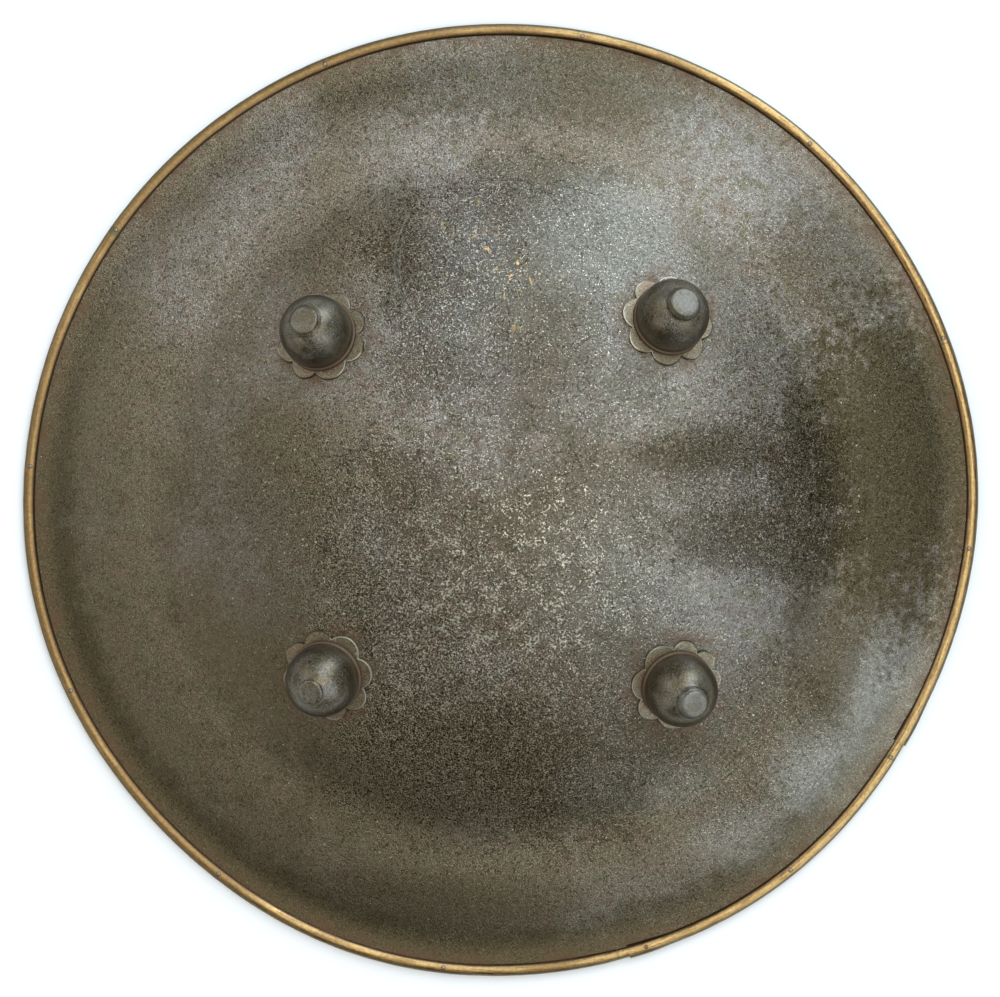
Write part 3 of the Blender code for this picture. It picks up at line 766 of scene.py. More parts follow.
def plate_steel_material():
    material, tree, shader, place = blank_metal("plate_steel")
    across, up, _ = separated(tree, place)
    flat = combined(tree, across, up)
    radius = vectors(tree, "LENGTH", flat)
    raised = carried(tree, "raised")

    # Broad tone: browner to the left and at the foot, greyer towards the upper right
    broad = shader_noise(tree, flat, 11.0, 2.0, 0.6, flat=True)
    lean = maths(tree, "MULTIPLY_ADD", across, 0.9, product(tree, up, 0.7))
    greyer_up_right = ranged(tree, maths(tree, "ADD", broad, lean), 0.34, 0.74)
    colour = mixed_colour(tree, greyer_up_right, BROWN_STEEL, GREY_STEEL)
    mottled = shader_noise(tree, flat, 75.0, 3.0, 0.75, flat=True)
    tinted = shader_noise(tree, vectors(tree, "ADD", flat, (0.7, 0.3, 0.0)), 95.0, 2.0, 0.65, flat=True)
    colour = mixed_colour(tree, ranged(tree, tinted, 0.52, 0.72, 0.0, 0.7), colour, OLIVE_STEEL)
    colour = mixed_colour(tree, ranged(tree, tinted, 0.48, 0.28, 0.0, 0.6), colour, RED_STEEL)
    torn = shader_noise(tree, flat, 260.0, 3.0, 0.7, flat=True)
    ragged = maths(tree, "MULTIPLY_ADD", mottled, 1.3, maths(tree, "MULTIPLY_ADD", torn, 1.7, -1.5))
    # Painted sheen, with some real rubbing: pale steel colour laid on the listed places
    sheen_and_rubbed = places_mask(tree, flat, product(tree, ragged, 0.6), SHEEN_AND_RUBBED_PLACES)
    colour = mixed_colour(tree, sheen_and_rubbed, colour, BARE_STEEL_AND_SHEEN)
    # Dark patina mixed with painted shade: the listed places, dark mottling, and the rim below
    dark = places_mask(tree, flat, ragged, DARK_PATCHES)
    dark = maths(tree, "MAXIMUM", dark, ranged(tree, mottled, 0.47, 0.25, 0.0, 0.4))
    # Painted shade: darker along the rim, most strongly towards the lower left, away from the light
    footward = vectors(tree, "DOT_PRODUCT", vectors(tree, "NORMALIZE", flat), FOOTWARD)
    rim_shade_margin = maths(tree, "ADD", radius, product(tree, maths(tree, "SUBTRACT", mottled, 0.5), 0.02))
    rim_shade_margin = product(tree, ranged(tree, rim_shade_margin, 0.196, 0.211), ranged(tree, footward, -0.6, 0.8, 0.25, 0.8))
    dark = maths(tree, "MAXIMUM", dark, rim_shade_margin)
    colour = mixed_colour(tree, dark, colour, DARK_PATINA_AND_SHADE)

    # Old etching: faint curls of line, most of them lost
    swirl_inputs = {"Vector": flat, "Scale": 120.0, "Detail": 1.0}
    swirl = put(tree, "ShaderNodeTexNoise", swirl_inputs, noise_dimensions="2D").outputs["Color"]
    swirl = vectors(tree, "SUBTRACT", swirl, (0.5, 0.5, 0.5))
    bent = vectors(tree, "ADD", flat, vectors(tree, "MULTIPLY", swirl, (0.005, 0.005, 0.0)))
    cell_inputs = {"Vector": bent, "Scale": CURL_CELLS}
    cells = put(tree, "ShaderNodeTexVoronoi", cell_inputs, feature="F1", voronoi_dimensions="2D")
    turns = product(tree, cells.outputs["Distance"], 2 * math.pi / (CURL_SPACING * CURL_CELLS))
    curls = ranged(tree, maths(tree, "SINE", turns), 0.25, 0.85)
    worked = ranged(tree, radius, *WORKED_EDGE)
    curls = product(tree, curls, ranged(tree, mottled, 0.48, 0.62), worked)
    sizes = {"Place": flat, "Grain Size": GRAIN_SIZE, "Pit Size": PIT_SIZE}
    grain, pits = use_tree(tree, pitted_grain, sizes)

    # How strongly the grain shows
    soft_edge = maths(tree, "MULTIPLY_ADD", ragged, 0.5, maths(tree, "SUBTRACT", broad, 0.5))
    busy = maths(tree, "MAXIMUM", places_mask(tree, flat, soft_edge, ROUGH_PLACES), 0.36)
    busy = product(tree, busy, ranged(tree, maths(tree, "ADD", across, up), -0.20, -0.08, 0.6, 1.0))
    busy = product(tree, busy, maths(tree, "MULTIPLY_ADD", sheen_and_rubbed, -0.5, 1.0))
    shade = product(tree, maths(tree, "SUBTRACT", grain, GRAIN_MEAN), busy)
    shade = maths(tree, "MAXIMUM", maths(tree, "MULTIPLY_ADD", shade, 5.0, 1.0), 0.50)
    shade = maths(tree, "MULTIPLY_ADD", product(tree, curls, busy), 0.25, shade)
    shade = maths(tree, "MULTIPLY_ADD", product(tree, pits, busy), -0.2, shade)
    sunk_line = product(tree, raised, busy, ranged(tree, mottled, 0.40, 0.55))
    shade = maths(tree, "MULTIPLY_ADD", sunk_line, -0.38, shade)
    colour = shaded_colour(tree, colour, maths(tree, "MAXIMUM", shade, 0.2))

    # Two pale lines are left of the top medallion's edge, on its left side
    ring_middle = disc_middle + Vector((*MEDALLIONS[1][:2], 0.0))
    from_ring = vectors(tree, "SUBTRACT", flat, tuple(ring_middle))
    ring_reach = vectors(tree, "LENGTH", from_ring)
    arc = 0.0
    for ring_radius in PALE_RING_RADII:
        away = maths(tree, "ABSOLUTE", maths(tree, "SUBTRACT", ring_reach, ring_radius))
        arc = maths(tree, "MAXIMUM", arc, ranged(tree, away, 0.0006, 0.0001))
    leftward = vectors(tree, "DOT_PRODUCT", vectors(tree, "NORMALIZE", from_ring), LEFTWARD)
    arc = product(tree, arc, ranged(tree, leftward, 0.55, 0.85))
    arc = product(tree, arc, ranged(tree, torn, 0.40, 0.55, 0.15, 0.5))
    colour = mixed_colour(tree, arc, colour, BARE_STEEL_AND_SHEEN)

    # Bare flecks crowd the lower middle and the right of the dome, and are few elsewhere
    crowd = maths(tree, "MAXIMUM", places_mask(tree, flat, ragged, FLECKED_PLACES), 0.16)
    crowd = product(tree, crowd, ranged(tree, radius, 0.20, 0.15, 0.4, 1.0))
    share = maths(tree, "MULTIPLY_ADD", curls, 0.18, maths(tree, "MULTIPLY_ADD", raised, 0.12, crowd))
    crowds = {"Place": flat, "Share": share, "Fleck Size": FLECK_SIZE, "Patch Size": FLECK_PATCH}
    flecks = use_tree(tree, worn_flecks, crowds)[0]
    colour = mixed_colour(tree, product(tree, flecks, 0.8), colour, BARE_FLECK)

    # What is left of the gold that once lay in the lines: short upright dashes above the middle
    upright = vectors(tree, "MULTIPLY", bent, GOLD_STRETCH)
    dashes = shader_noise(tree, upright, 400.0, 1.0, 0.4, flat=True)
    gilded = vectors(tree, "MULTIPLY", vectors(tree, "SUBTRACT", flat, GOLD_PLACE), GOLD_SPREAD)
    gilded = ranged(tree, vectors(tree, "LENGTH", gilded), 1.0, 0.2)
    gilded = product(tree, gilded, ranged(tree, mottled, 0.50, 0.58))
    gold = product(tree, ranged(tree, dashes, 0.685, 0.72), gilded)
    colour = mixed_colour(tree, gold, colour, GOLD_FLECK)

    # Rust creeps out from under the rosettes and the binding
    rust = 0.0
    for boss_place in boss_frames.values():
        spot = boss_place.to_translation() + disc_middle
        distance = vectors(tree, "DISTANCE", flat, (spot.x, spot.y, 0.0))
        rust = maths(tree, "MAXIMUM", rust, ranged(tree, distance, *ROSETTE_RUST))
    rust = maths(tree, "MAXIMUM", rust, ranged(tree, radius, *RIM_RUST))
    rust = product(tree, rust, ranged(tree, mottled, 0.38, 0.68))
    colour = mixed_colour(tree, product(tree, rust, 0.6), colour, RUST)
    tree.links.new(colour, shader.inputs["Base Color"])

    rough = maths(tree, "MULTIPLY_ADD", mottled, 0.16, 0.33)
    rough = maths(tree, "MULTIPLY_ADD", rust, 0.15, rough)
    rough = maths(tree, "SUBTRACT", rough, product(tree, flecks, 0.08))
    tree.links.new(rough, shader.inputs["Roughness"])
    bumped(tree, shader, maths(tree, "SUBTRACT", grain, pits), GRAIN_DEPTH, busy)
    return material


profile_rows = math.ceil(PLATE_EDGE_RADIUS / PROFILE_STEP) + 2
profile_radii = [row * PROFILE_STEP for row in range(profile_rows)]
guides = {
    "Profile": guide_points("profile", [(r, plate_slope(r), plate_height(r)) for r in profile_radii]),
    "Medallions": guide_points("medallions", MEDALLIONS),
    "Borders": guide_points("borders", [(0.0, 0.0, r) for r in BORDER_RADII]),
}
plate_steel = plate_steel_material()
plate_tree = dished_plate_tree(laid_on_plate_tree(), etched_lines_tree())
plate = grown_mesh("dished_plate", plate_tree, {**guides, "Middle": disc_middle, "Steel": plate_steel})
plate.data.shade_smooth()
plate.data.set_sharp_from_angle(angle=math.radians(60))
for guide in guides.values():
    bpy.data.objects.remove(guide)
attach(plate, "root")
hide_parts("shield_plate")

# The binding is brass strip, folded over the edge of the plate in two lengths and hammered down.
# Each length laps over the other at one end; the joints show at the lower right and at the bottom.
LAP_LENGTH = 0.008
LAP_EASE = 0.014
LAP_FRONT_STEP = 0.00045
BEAD_CENTRE_RADIUS = OUTER_DIAMETER / 2 - BEAD_WIDTH / 2
LONG_BAND_START = math.radians(-31.4)
SHORT_BAND_START = math.radians(-74.2)
BAND_STEPS = 420
BEAD_OUTER_STEPS = 34
BEAD_INNER_STEPS = 12
BAND_DENT = 0.00016
RIVET_ANGLES = (-6, 20, 49, 80, 112, 145, 176, 204, 233, 263, 288, 308, 326.5)
RIVET_DIAMETER = 0.0015
RIVET_INSET = 0.0002


def lap_share(distance):
    """1 inside a lap joint, easing to 0 past it, for a distance from the end of the band."""
    return 1.0 - smoothstep((distance - LAP_LENGTH) / LAP_EASE)


def bead_skin(half_width, front_rise, back_rise, steps):
    """One skin of the folded strip cut across, from its front lip round the outside to its back lip."""
    front_turn = math.pi - math.asin(LIP_HEIGHT / front_rise)
    back_turn = math.pi - math.asin(LIP_HEIGHT / back_rise)
    points = []
    for i in range(steps + 1):
        angle = front_turn + (-back_turn - front_turn) * i / steps
        rise = front_rise if angle > 0 else back_rise
        points.append((half_width * math.cos(angle), rise * math.sin(angle)))
    return points


def bead_section(front_growth, back_growth):
    half_width = BEAD_WIDTH / 2 + front_growth
    front_rise = BEAD_RISE + front_growth
    back_rise = BEAD_RISE + back_growth
    outer = bead_skin(half_width, front_rise, back_rise, BEAD_OUTER_STEPS)
    inner = bead_skin(
        half_width - BRASS_THICKNESS,
        front_rise - BRASS_THICKNESS,
        back_rise - BRASS_THICKNESS,
        BEAD_INNER_STEPS,
    )
    return outer, inner


def band_mesh(start, finish):
    """A length of folded strip that laps over its neighbour at its start and tucks under at its finish."""
    bm = bmesh.new()
    crown = bm.verts.layers.float.new("crown")
    along = bm.verts.layers.float.new("along")
    loops = []
    steps = math.ceil(BAND_STEPS * (finish - start) / (2 * math.pi))
    for i in range(steps + 1):
        angle = start + (finish - start) * i / steps
        over = lap_share((angle - start) * BEAD_CENTRE_RADIUS)
        under = lap_share((finish - angle) * BEAD_CENTRE_RADIUS)
        front_growth = LAP_FRONT_STEP * over - (TUCK - LAP_FRONT_STEP) * under
        centre = BEAD_CENTRE_RADIUS + edge_wander(angle)
        outer, inner = bead_section(front_growth, -TUCK * under)
        loop = []
        for k, (out, up) in enumerate(outer + inner[::-1]):
            heading = Vector((math.cos(angle), math.sin(angle), 0.0))
            spot = heading * (centre + out) + Vector((0.0, 0.0, BEAD_RISE + up))
            if 0 < k < len(outer) - 1:
                blow = noise.noise(spot * 160.0) + 0.6 * noise.noise(spot * 420.0)
                sunk = BAND_DENT * max(blow, 0.0) * (1.0 - max(over, under))
                spot -= (heading * out * 0.5 + Vector((0.0, 0.0, up))).normalized() * sunk
            vert = bm.verts.new(spot + disc_middle)
            vert[crown] = out / (BEAD_WIDTH / 2) if up > 0 and k < len(outer) else 1.0
            vert[along] = angle * BEAD_CENTRE_RADIUS
            loop.append(vert)
        loops.append(loop)
    for near, far in zip(loops, loops[1:]):
        for i in range(len(near)):
            bm.faces.new((near[i - 1], near[i], far[i], far[i - 1]))
    bm.faces.new(loops[0])
    bm.faces.new(loops[-1])
    bmesh.ops.recalc_face_normals(bm, faces=bm.faces)
    mesh = bpy.data.meshes.new("band")
    bm.to_mesh(mesh)
    bm.free()
    mesh.shade_smooth()
    mesh.set_sharp_from_angle(angle=math.radians(40))
    return mesh


BRIGHT_BRASS = (0.440, 0.298, 0.130)
BROWN_BRASS = (0.235, 0.146, 0.061)
OLIVE_TARNISH_AND_SHADE = (0.120, 0.115, 0.068)
CREVICE_SHADE_AND_DIRT = (0.110, 0.060, 0.034)
DIRT_RING = (0.00135, 0.00100)
STRIP_GIRTH = 0.040
# Dark marks across the strip at joints, knocks and creases, part tarnish and part painted shade of the
# creases and dents: angle, half width, how dark
RIM_KNOCKS = (
    (145.2, 0.0024, 0.75),
    (-33.6, 0.0007, 0.55),
    (-75.6, 0.0006, 0.45),
    (19.4, 0.0008, 0.55),
    (112.0, 0.0007, 0.45),
    (80.6, 0.0006, 0.40),
)


def rim_brass_material():
    material, tree, shader, place = blank_metal("rim_brass")
    across, up, _ = separated(tree, place)
    crown = carried(tree, "crown")
    along = carried(tree, "along")
    # Browner towards the left, and in patches at random
    broad = shader_noise(tree, place, 18.0, 3.0, 0.6)
    lean = maths(tree, "MULTIPLY_ADD", across, 0.7, product(tree, up, -0.2))
    browner_leftward = ranged(tree, maths(tree, "SUBTRACT", broad, lean), 0.38, 0.66)

    # Rubbing has drawn the surface into streaks that run along the strip
    strip = combined(tree, along, product(tree, crown, STRIP_GIRTH))
    streaks = shader_noise(tree, strip, 95.0, 4.0, 0.7)
    fine = shader_noise(tree, place, 620.0, 3.0, 0.7)
    colour = mixed_colour(tree, product(tree, browner_leftward, 0.8), BRIGHT_BRASS, BROWN_BRASS)
    colour = mixed_colour(tree, ranged(tree, streaks, 0.54, 0.36), colour, BROWN_BRASS)
    shade = maths(tree, "MULTIPLY_ADD", maths(tree, "SUBTRACT", fine, 0.5), 1.1, 1.0)
    colour = shaded_colour(tree, colour, shade)
    # Olive tarnish in streaks, with painted shade, on the outer flank of the bead where it turns down
    flank_tarnish_and_shade = product(tree, ranged(tree, crown, 0.45, 0.85), ranged(tree, streaks, 0.3, 0.6, 0.55, 1.0))
    colour = mixed_colour(tree, flank_tarnish_and_shade, colour, OLIVE_TARNISH_AND_SHADE)
    # Painted shade in the crevice where the bead's inner lip meets the plate
    colour = mixed_colour(tree, ranged(tree, crown, -0.48, -0.82), colour, CREVICE_SHADE_AND_DIRT)

    heading = maths(tree, "ARCTAN2", up, across)
    # Knocks and creases: olive tarnish with painted crease shade
    knocked = 0.0
    for angle, half_width, strength in RIM_KNOCKS:
        turn = maths(tree, "ABSOLUTE", maths(tree, "SUBTRACT", heading, math.radians(angle)))
        turn = maths(tree, "ADD", turn, product(tree, maths(tree, "SUBTRACT", fine, 0.5), 0.006))
        width = half_width / BEAD_CENTRE_RADIUS
        near = product(tree, ranged(tree, turn, width, width * 0.4), strength)
        knocked = maths(tree, "MAXIMUM", knocked, near)
    colour = mixed_colour(tree, knocked, colour, OLIVE_TARNISH_AND_SHADE)

    # Dirt has gathered in a ring round each pin
    nearest = 1.0
    for spot in pin_places:
        distance = vectors(tree, "DISTANCE", place, tuple(spot + Vector((0.0, 0.0, BEAD_RISE))))
        nearest = maths(tree, "MINIMUM", nearest, distance)
    ringed = ranged(tree, nearest, *DIRT_RING)
    colour = mixed_colour(tree, product(tree, ringed, 0.85), colour, CREVICE_SHADE_AND_DIRT)
    tree.links.new(colour, shader.inputs["Base Color"])

    rough = maths(tree, "MULTIPLY_ADD", browner_leftward, 0.12, maths(tree, "MULTIPLY_ADD", streaks, 0.25, 0.20))
    tree.links.new(rough, shader.inputs["Roughness"])
    grain, pits = use_tree(tree, pitted_grain, {"Place": place, "Grain Size": 0.0016, "Pit Size": 0.0012})
    relief = maths(tree, "SUBTRACT", product(tree, grain, 0.3), product(tree, pits, 0.6))
    bumped(tree, shader, maths(tree, "MULTIPLY_ADD", streaks, 1.6, relief), 0.00005)
    return material


pin_places = []
for angle in RIVET_ANGLES:
    heading = math.radians(angle)
    reach = BEAD_CENTRE_RADIUS + edge_wander(heading) - RIVET_INSET
    pin_places.append(disc_middle + Vector((reach * math.cos(heading), reach * math.sin(heading), BEAD_RISE)))
rim_brass = rim_brass_material()
lap_turn = LAP_LENGTH / BEAD_CENTRE_RADIUS
band_ends = {
    "rim_band_long": (LONG_BAND_START, SHORT_BAND_START + 2 * math.pi + lap_turn),
    "rim_band_short": (SHORT_BAND_START, LONG_BAND_START + lap_turn),
}
for node, (start, finish) in band_ends.items():
    band = placed_object(node.replace("rim_", "brass_"), band_mesh(start, finish))
    band.data.materials.append(rim_brass)
    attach(band, "root")
    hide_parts(node)

# Thirteen steel pins go through the binding and the plate, cut off and hammered nearly flush.
# Their heads are a little domed.
RIVET_SIDES = 16
HEAD_SHOWS = 0.00012


def rivet_tree():
    """One pin at each guide point."""
    inputs = [
        ("Places", "Object", None),
        ("Pin Radius", "Float", RIVET_DIAMETER / 2),
        ("Head Rise", "Float", 0.00012),
        ("Pin Length", "Float", 2 * (BEAD_RISE + HEAD_SHOWS)),
        ("Sides", "Int", RIVET_SIDES),
        ("Seed", "Int", 3),
        ("Steel", "Material", None),
    ]
    tree, given, result = new_tree("rim_pins", inputs, [("Geometry", "Geometry")])
    places = put(tree, "GeometryNodeObjectInfo", {0: given["Places"]}).outputs["Geometry"]
    points = geometry(tree, "MeshToPoints", {0: places})
    shank = geometry(
        tree,
        "MeshCylinder",
        {
            "Vertices": given["Sides"],
            "Side Segments": 1,
            "Fill Segments": 3,
            "Radius": given["Pin Radius"],
            "Depth": given["Pin Length"],
        },
    )
    position = geometry(tree, "InputPosition")
    across, up, height = separated(tree, position)
    flat = combined(tree, across, up)
    share = maths(tree, "DIVIDE", vectors(tree, "LENGTH", flat), given["Pin Radius"])
    dome = product(tree, maths(tree, "POWER", share, 2.0), given["Head Rise"])
    top = maths(tree, "GREATER_THAN", height, 0.0)
    lowered = combined(tree, height=product(tree, dome, top, -1.0))
    headed = geometry(tree, "SetPosition", {"Geometry": shank, "Offset": lowered})
    instances = geometry(tree, "InstanceOnPoints", {"Points": points, "Instance": headed})
    realized = geometry(tree, "RealizeInstances", {0: instances})
    finished = put(tree, "GeometryNodeSetMaterial", {"Geometry": realized, "Material": given["Steel"]})
    tree.links.new(finished.outputs[0], result[0])
    return tree


PIN_DARK_STEEL = (0.16, 0.145, 0.12)
PIN_BRIGHT_STEEL = (0.46, 0.46, 0.42)
PIN_RUST = (0.10, 0.07, 0.045)


def rivet_steel_material():
    material, tree, shader, place = blank_metal("rivet_steel")
    grain, pits = use_tree(tree, pitted_grain, {"Place": place, "Grain Size": 0.0006, "Pit Size": 0.0007})
    colour = mixed_colour(tree, grain, PIN_DARK_STEEL, PIN_BRIGHT_STEEL)
    colour = mixed_colour(tree, pits, colour, PIN_RUST)
    tree.links.new(colour, shader.inputs["Base Color"])
    tree.links.new(maths(tree, "MULTIPLY_ADD", grain, 0.2, 0.28), shader.inputs["Roughness"])
    bumped(tree, shader, grain, 0.00003)
    return material


rivet_steel = rivet_steel_material()
pin_guide = guide_points("pin_places", pin_places)
pins = grown_mesh("rim_pins", rivet_tree(), {"Places": pin_guide, "Steel": rivet_steel})
bpy.data.objects.remove(pin_guide)
pins.data.shade_smooth()
pins.data.set_sharp_from_angle(angle=math.radians(40))
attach(pins, "root")
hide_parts(*[f"rim_rivet_{number:02d}" for number in range(1, len(RIVET_ANGLES) + 1)])

# Under each boss lies a thin steel rosette of eight lobes, cut by hand, so that no two lobes are alike.
# It is dished to lie on the plate, and its edge is rounded over; its colour paints a dark shadow line round
# that edge, and pale marks on it that are part wear and part painted highlight.
WASHER_THICKNESS = 0.0010
WASHER_STEPS_IN_LOBE = 22
WASHER_ROUNDING = 0.00025
WASHER_CORNER_STEPS = 4
WASHER_CUTS = {
    "upper_left": (1, 42, 90, 135, 178, 222, 263, 314),
    "upper_right": (15, 60, 104, 146, 193, 241, 288, 332),
    "lower_left": (30, 80, 124, 170, 215, 258, 300, 343),
    "lower_right": (22, 58, 97, 151, 200, 242, 295, 350),
}
LOBE_CUT_RADIUS = 0.0178
SHANK_DIAMETER = 0.0060
WASHER_TOP = CLEARANCE + WASHER_THICKNESS
SEAT_STEPS = 5


def laid_on_plate(boss_place, across, along, offset):
    """A point of a boss's own frame, moved along the boss's axis to lie this far off the face."""
    height = offset
    for _ in range(SEAT_STEPS):
        place = boss_place @ Vector((across, along, height))
        radius = place.xy.length
        height += offset - (place.z - plate_height(radius)) * math.cos(plate_slope(radius))
    return Vector((across, along, height))


def lobe_outline(cuts):
    """(turn, radius) all round the rosette: one round lobe from each cut to the next."""
    outline = []
    turns = [math.radians(cut) for cut in cuts]
    for start, finish in zip(turns, turns[1:] + [turns[0] + 2 * math.pi]):
        half = (finish - start) / 2
        chord_distance = LOBE_CUT_RADIUS * math.cos(half)
        half_chord = LOBE_CUT_RADIUS * math.sin(half)
        reach = LOBE_TIP_RADIUS - chord_distance
        lobe_radius = (half_chord**2 + reach**2) / (2 * reach)
        lobe_centre = LOBE_TIP_RADIUS - lobe_radius
        sweep = math.atan2(half_chord, chord_distance - lobe_centre)
        for i in range(WASHER_STEPS_IN_LOBE):
            swing = sweep * (2 * i / WASHER_STEPS_IN_LOBE - 1.0)
            out = lobe_centre + lobe_radius * math.cos(swing)
            side = lobe_radius * math.sin(swing)
            outline.append((math.atan2(side, out) + start + half, math.hypot(out, side)))
    return outline


def washer_mesh(boss_place, cuts):
    bm = bmesh.new()
    edge = bm.verts.layers.float.new("edge")
    outline = lobe_outline(cuts)
    bore = SHANK_DIAMETER / 2 + CLEARANCE
    section = [(0.0, 0.0, CLEARANCE), (1.0, 0.0, CLEARANCE)]
    for i in range(WASHER_CORNER_STEPS + 1):
        angle = math.pi / 2 * i / WASHER_CORNER_STEPS
        inset = WASHER_ROUNDING * (1.0 - math.cos(angle))
        drop = WASHER_ROUNDING * (1.0 - math.sin(angle))
        section.append((1.0, -inset, WASHER_TOP - drop))
    section += [(share, -WASHER_ROUNDING, WASHER_TOP) for share in (0.97, 0.93, 0.87, 0.8, 0.6, 0.3, 0.0)]
    rings = []
    for share, inset, offset in section:
        ring = []
        for turn, radius in outline:
            reach = bore + (radius - bore) * share + inset * share
            spot = laid_on_plate(boss_place, reach * math.cos(turn), reach * math.sin(turn), offset)
            vert = bm.verts.new(spot)
            vert[edge] = share
            ring.append(vert)
        rings.append(ring)
    for near, far in zip(rings, rings[1:] + rings[:1]):
        for i in range(len(outline)):
            bm.faces.new((near[i - 1], near[i], far[i], far[i - 1]))
    bmesh.ops.recalc_face_normals(bm, faces=bm.faces)
    bm.transform(Matrix.Translation(disc_middle) @ boss_place)
    mesh = bpy.data.meshes.new("washer")
    bm.to_mesh(mesh)
    bm.free()
    mesh.shade_smooth()
    mesh.set_sharp_from_angle(angle=math.radians(50))
    return mesh


OLIVE_WASHER = (0.206, 0.180, 0.120)
BROWN_WASHER = (0.236, 0.178, 0.120)
WASHER_EDGE_WEAR_AND_HIGHLIGHT = (0.44, 0.42, 0.33)


def washer_steel_material():
    material, tree, shader, place = blank_metal("washer_steel")
    edge = carried(tree, "edge")
    blotches = shader_noise(tree, place, 95.0, 4.0, 0.65)
    grain, pits = use_tree(tree, pitted_grain, {"Place": place, "Grain Size": 0.0009})
    colour = mixed_colour(tree, ranged(tree, blotches, 0.42, 0.62), OLIVE_WASHER, BROWN_WASHER)
    rust = product(tree, ranged(tree, edge, 0.92, 0.60), ranged(tree, blotches, 0.35, 0.6))
    colour = mixed_colour(tree, product(tree, rust, 0.85), colour, RUST)
    shade = maths(tree, "MULTIPLY_ADD", maths(tree, "SUBTRACT", grain, GRAIN_MEAN), 1.3, 0.95)
    colour = shaded_colour(tree, colour, shade)
    flecks = use_tree(tree, worn_flecks, {"Place": place, "Share": 0.45, "Patch Size": 0.008})[0]
    colour = mixed_colour(tree, product(tree, flecks, 0.5), colour, BARE_FLECK)
    bright = ranged(tree, shader_noise(tree, place, 60.0, 1.0, 0.5), 0.46, 0.58)
    # Painted shadow: a dark line round the edge where the rosette meets the plate; pale marks on the edge are
    # wear with painted highlight
    side = ranged(tree, edge, 0.972, 0.992)
    wear_and_highlight = product(tree, side, bright)
    colour = mixed_colour(tree, product(tree, side, 0.8), colour, DARK_PATINA_AND_SHADE)
    colour = mixed_colour(tree, wear_and_highlight, colour, WASHER_EDGE_WEAR_AND_HIGHLIGHT)
    tree.links.new(colour, shader.inputs["Base Color"])
    tree.links.new(maths(tree, "MULTIPLY_ADD", blotches, 0.2, 0.32), shader.inputs["Roughness"])
    bumped(tree, shader, maths(tree, "SUBTRACT", grain, pits), 0.00003)
    return material


washer_steel = washer_steel_material()
for corner, cuts in WASHER_CUTS.items():
    rosette = placed_object(f"rosette_{corner}", washer_mesh(boss_frames[corner], cuts))
    rosette.data.materials.append(washer_steel)
    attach(rosette, "root")
    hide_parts(f"washer_{corner}")

# Each boss is turned from one piece of steel: a low foot, a dome, a hollow neck and a flat top, with a
# shank that goes through rosette and plate and is hammered over at the back.
BOSS_FOOT_DIAMETER = 0.0340
BOSS_FOOT_HEIGHT = 0.0012
BOSS_BALL_DIAMETER = 0.0328
BOSS_BALL_RISE = 0.0070
BOSS_SHOULDER_ANGLE = math.radians(60)
BOSS_TOP_BEVEL = 0.0006
NECK_FLARE = 0.0009
NECK_HANDLE = 0.0008
PEEN_LIP = 0.0025
BOSS_SEAT = WASHER_TOP + CLEARANCE
BOSS_SIDES = 88
BALL_STEPS = 26
NECK_POINTS = 9
FLARE_POINTS = 9
CORNER_STEPS = 4
PEEN_ROUNDING = 0.0010
FOOT_ROUNDING = 0.0005
FLARE_ANGLE = math.radians(-8)
TOP_ROUNDING = 0.0013
# How pale each flat top is coloured: part wear, part painted highlight, strongest on the two bosses that face
# the light
BOSS_TOP_WEAR_AND_HIGHLIGHT = {"upper_left": 0.05, "upper_right": 1.0, "lower_left": 0.0, "lower_right": 0.9}


def rounded_corner(corner_radius, corner_height, size, turn):
    """Points that take the corner off an edge, for a quarter turn that starts at the given angle."""
    points = []
    for i in range(CORNER_STEPS + 1):
        angle = turn + math.pi / 2 * i / CORNER_STEPS
        points.append((corner_radius + size * math.cos(angle), corner_height + size * math.sin(angle)))
    return points


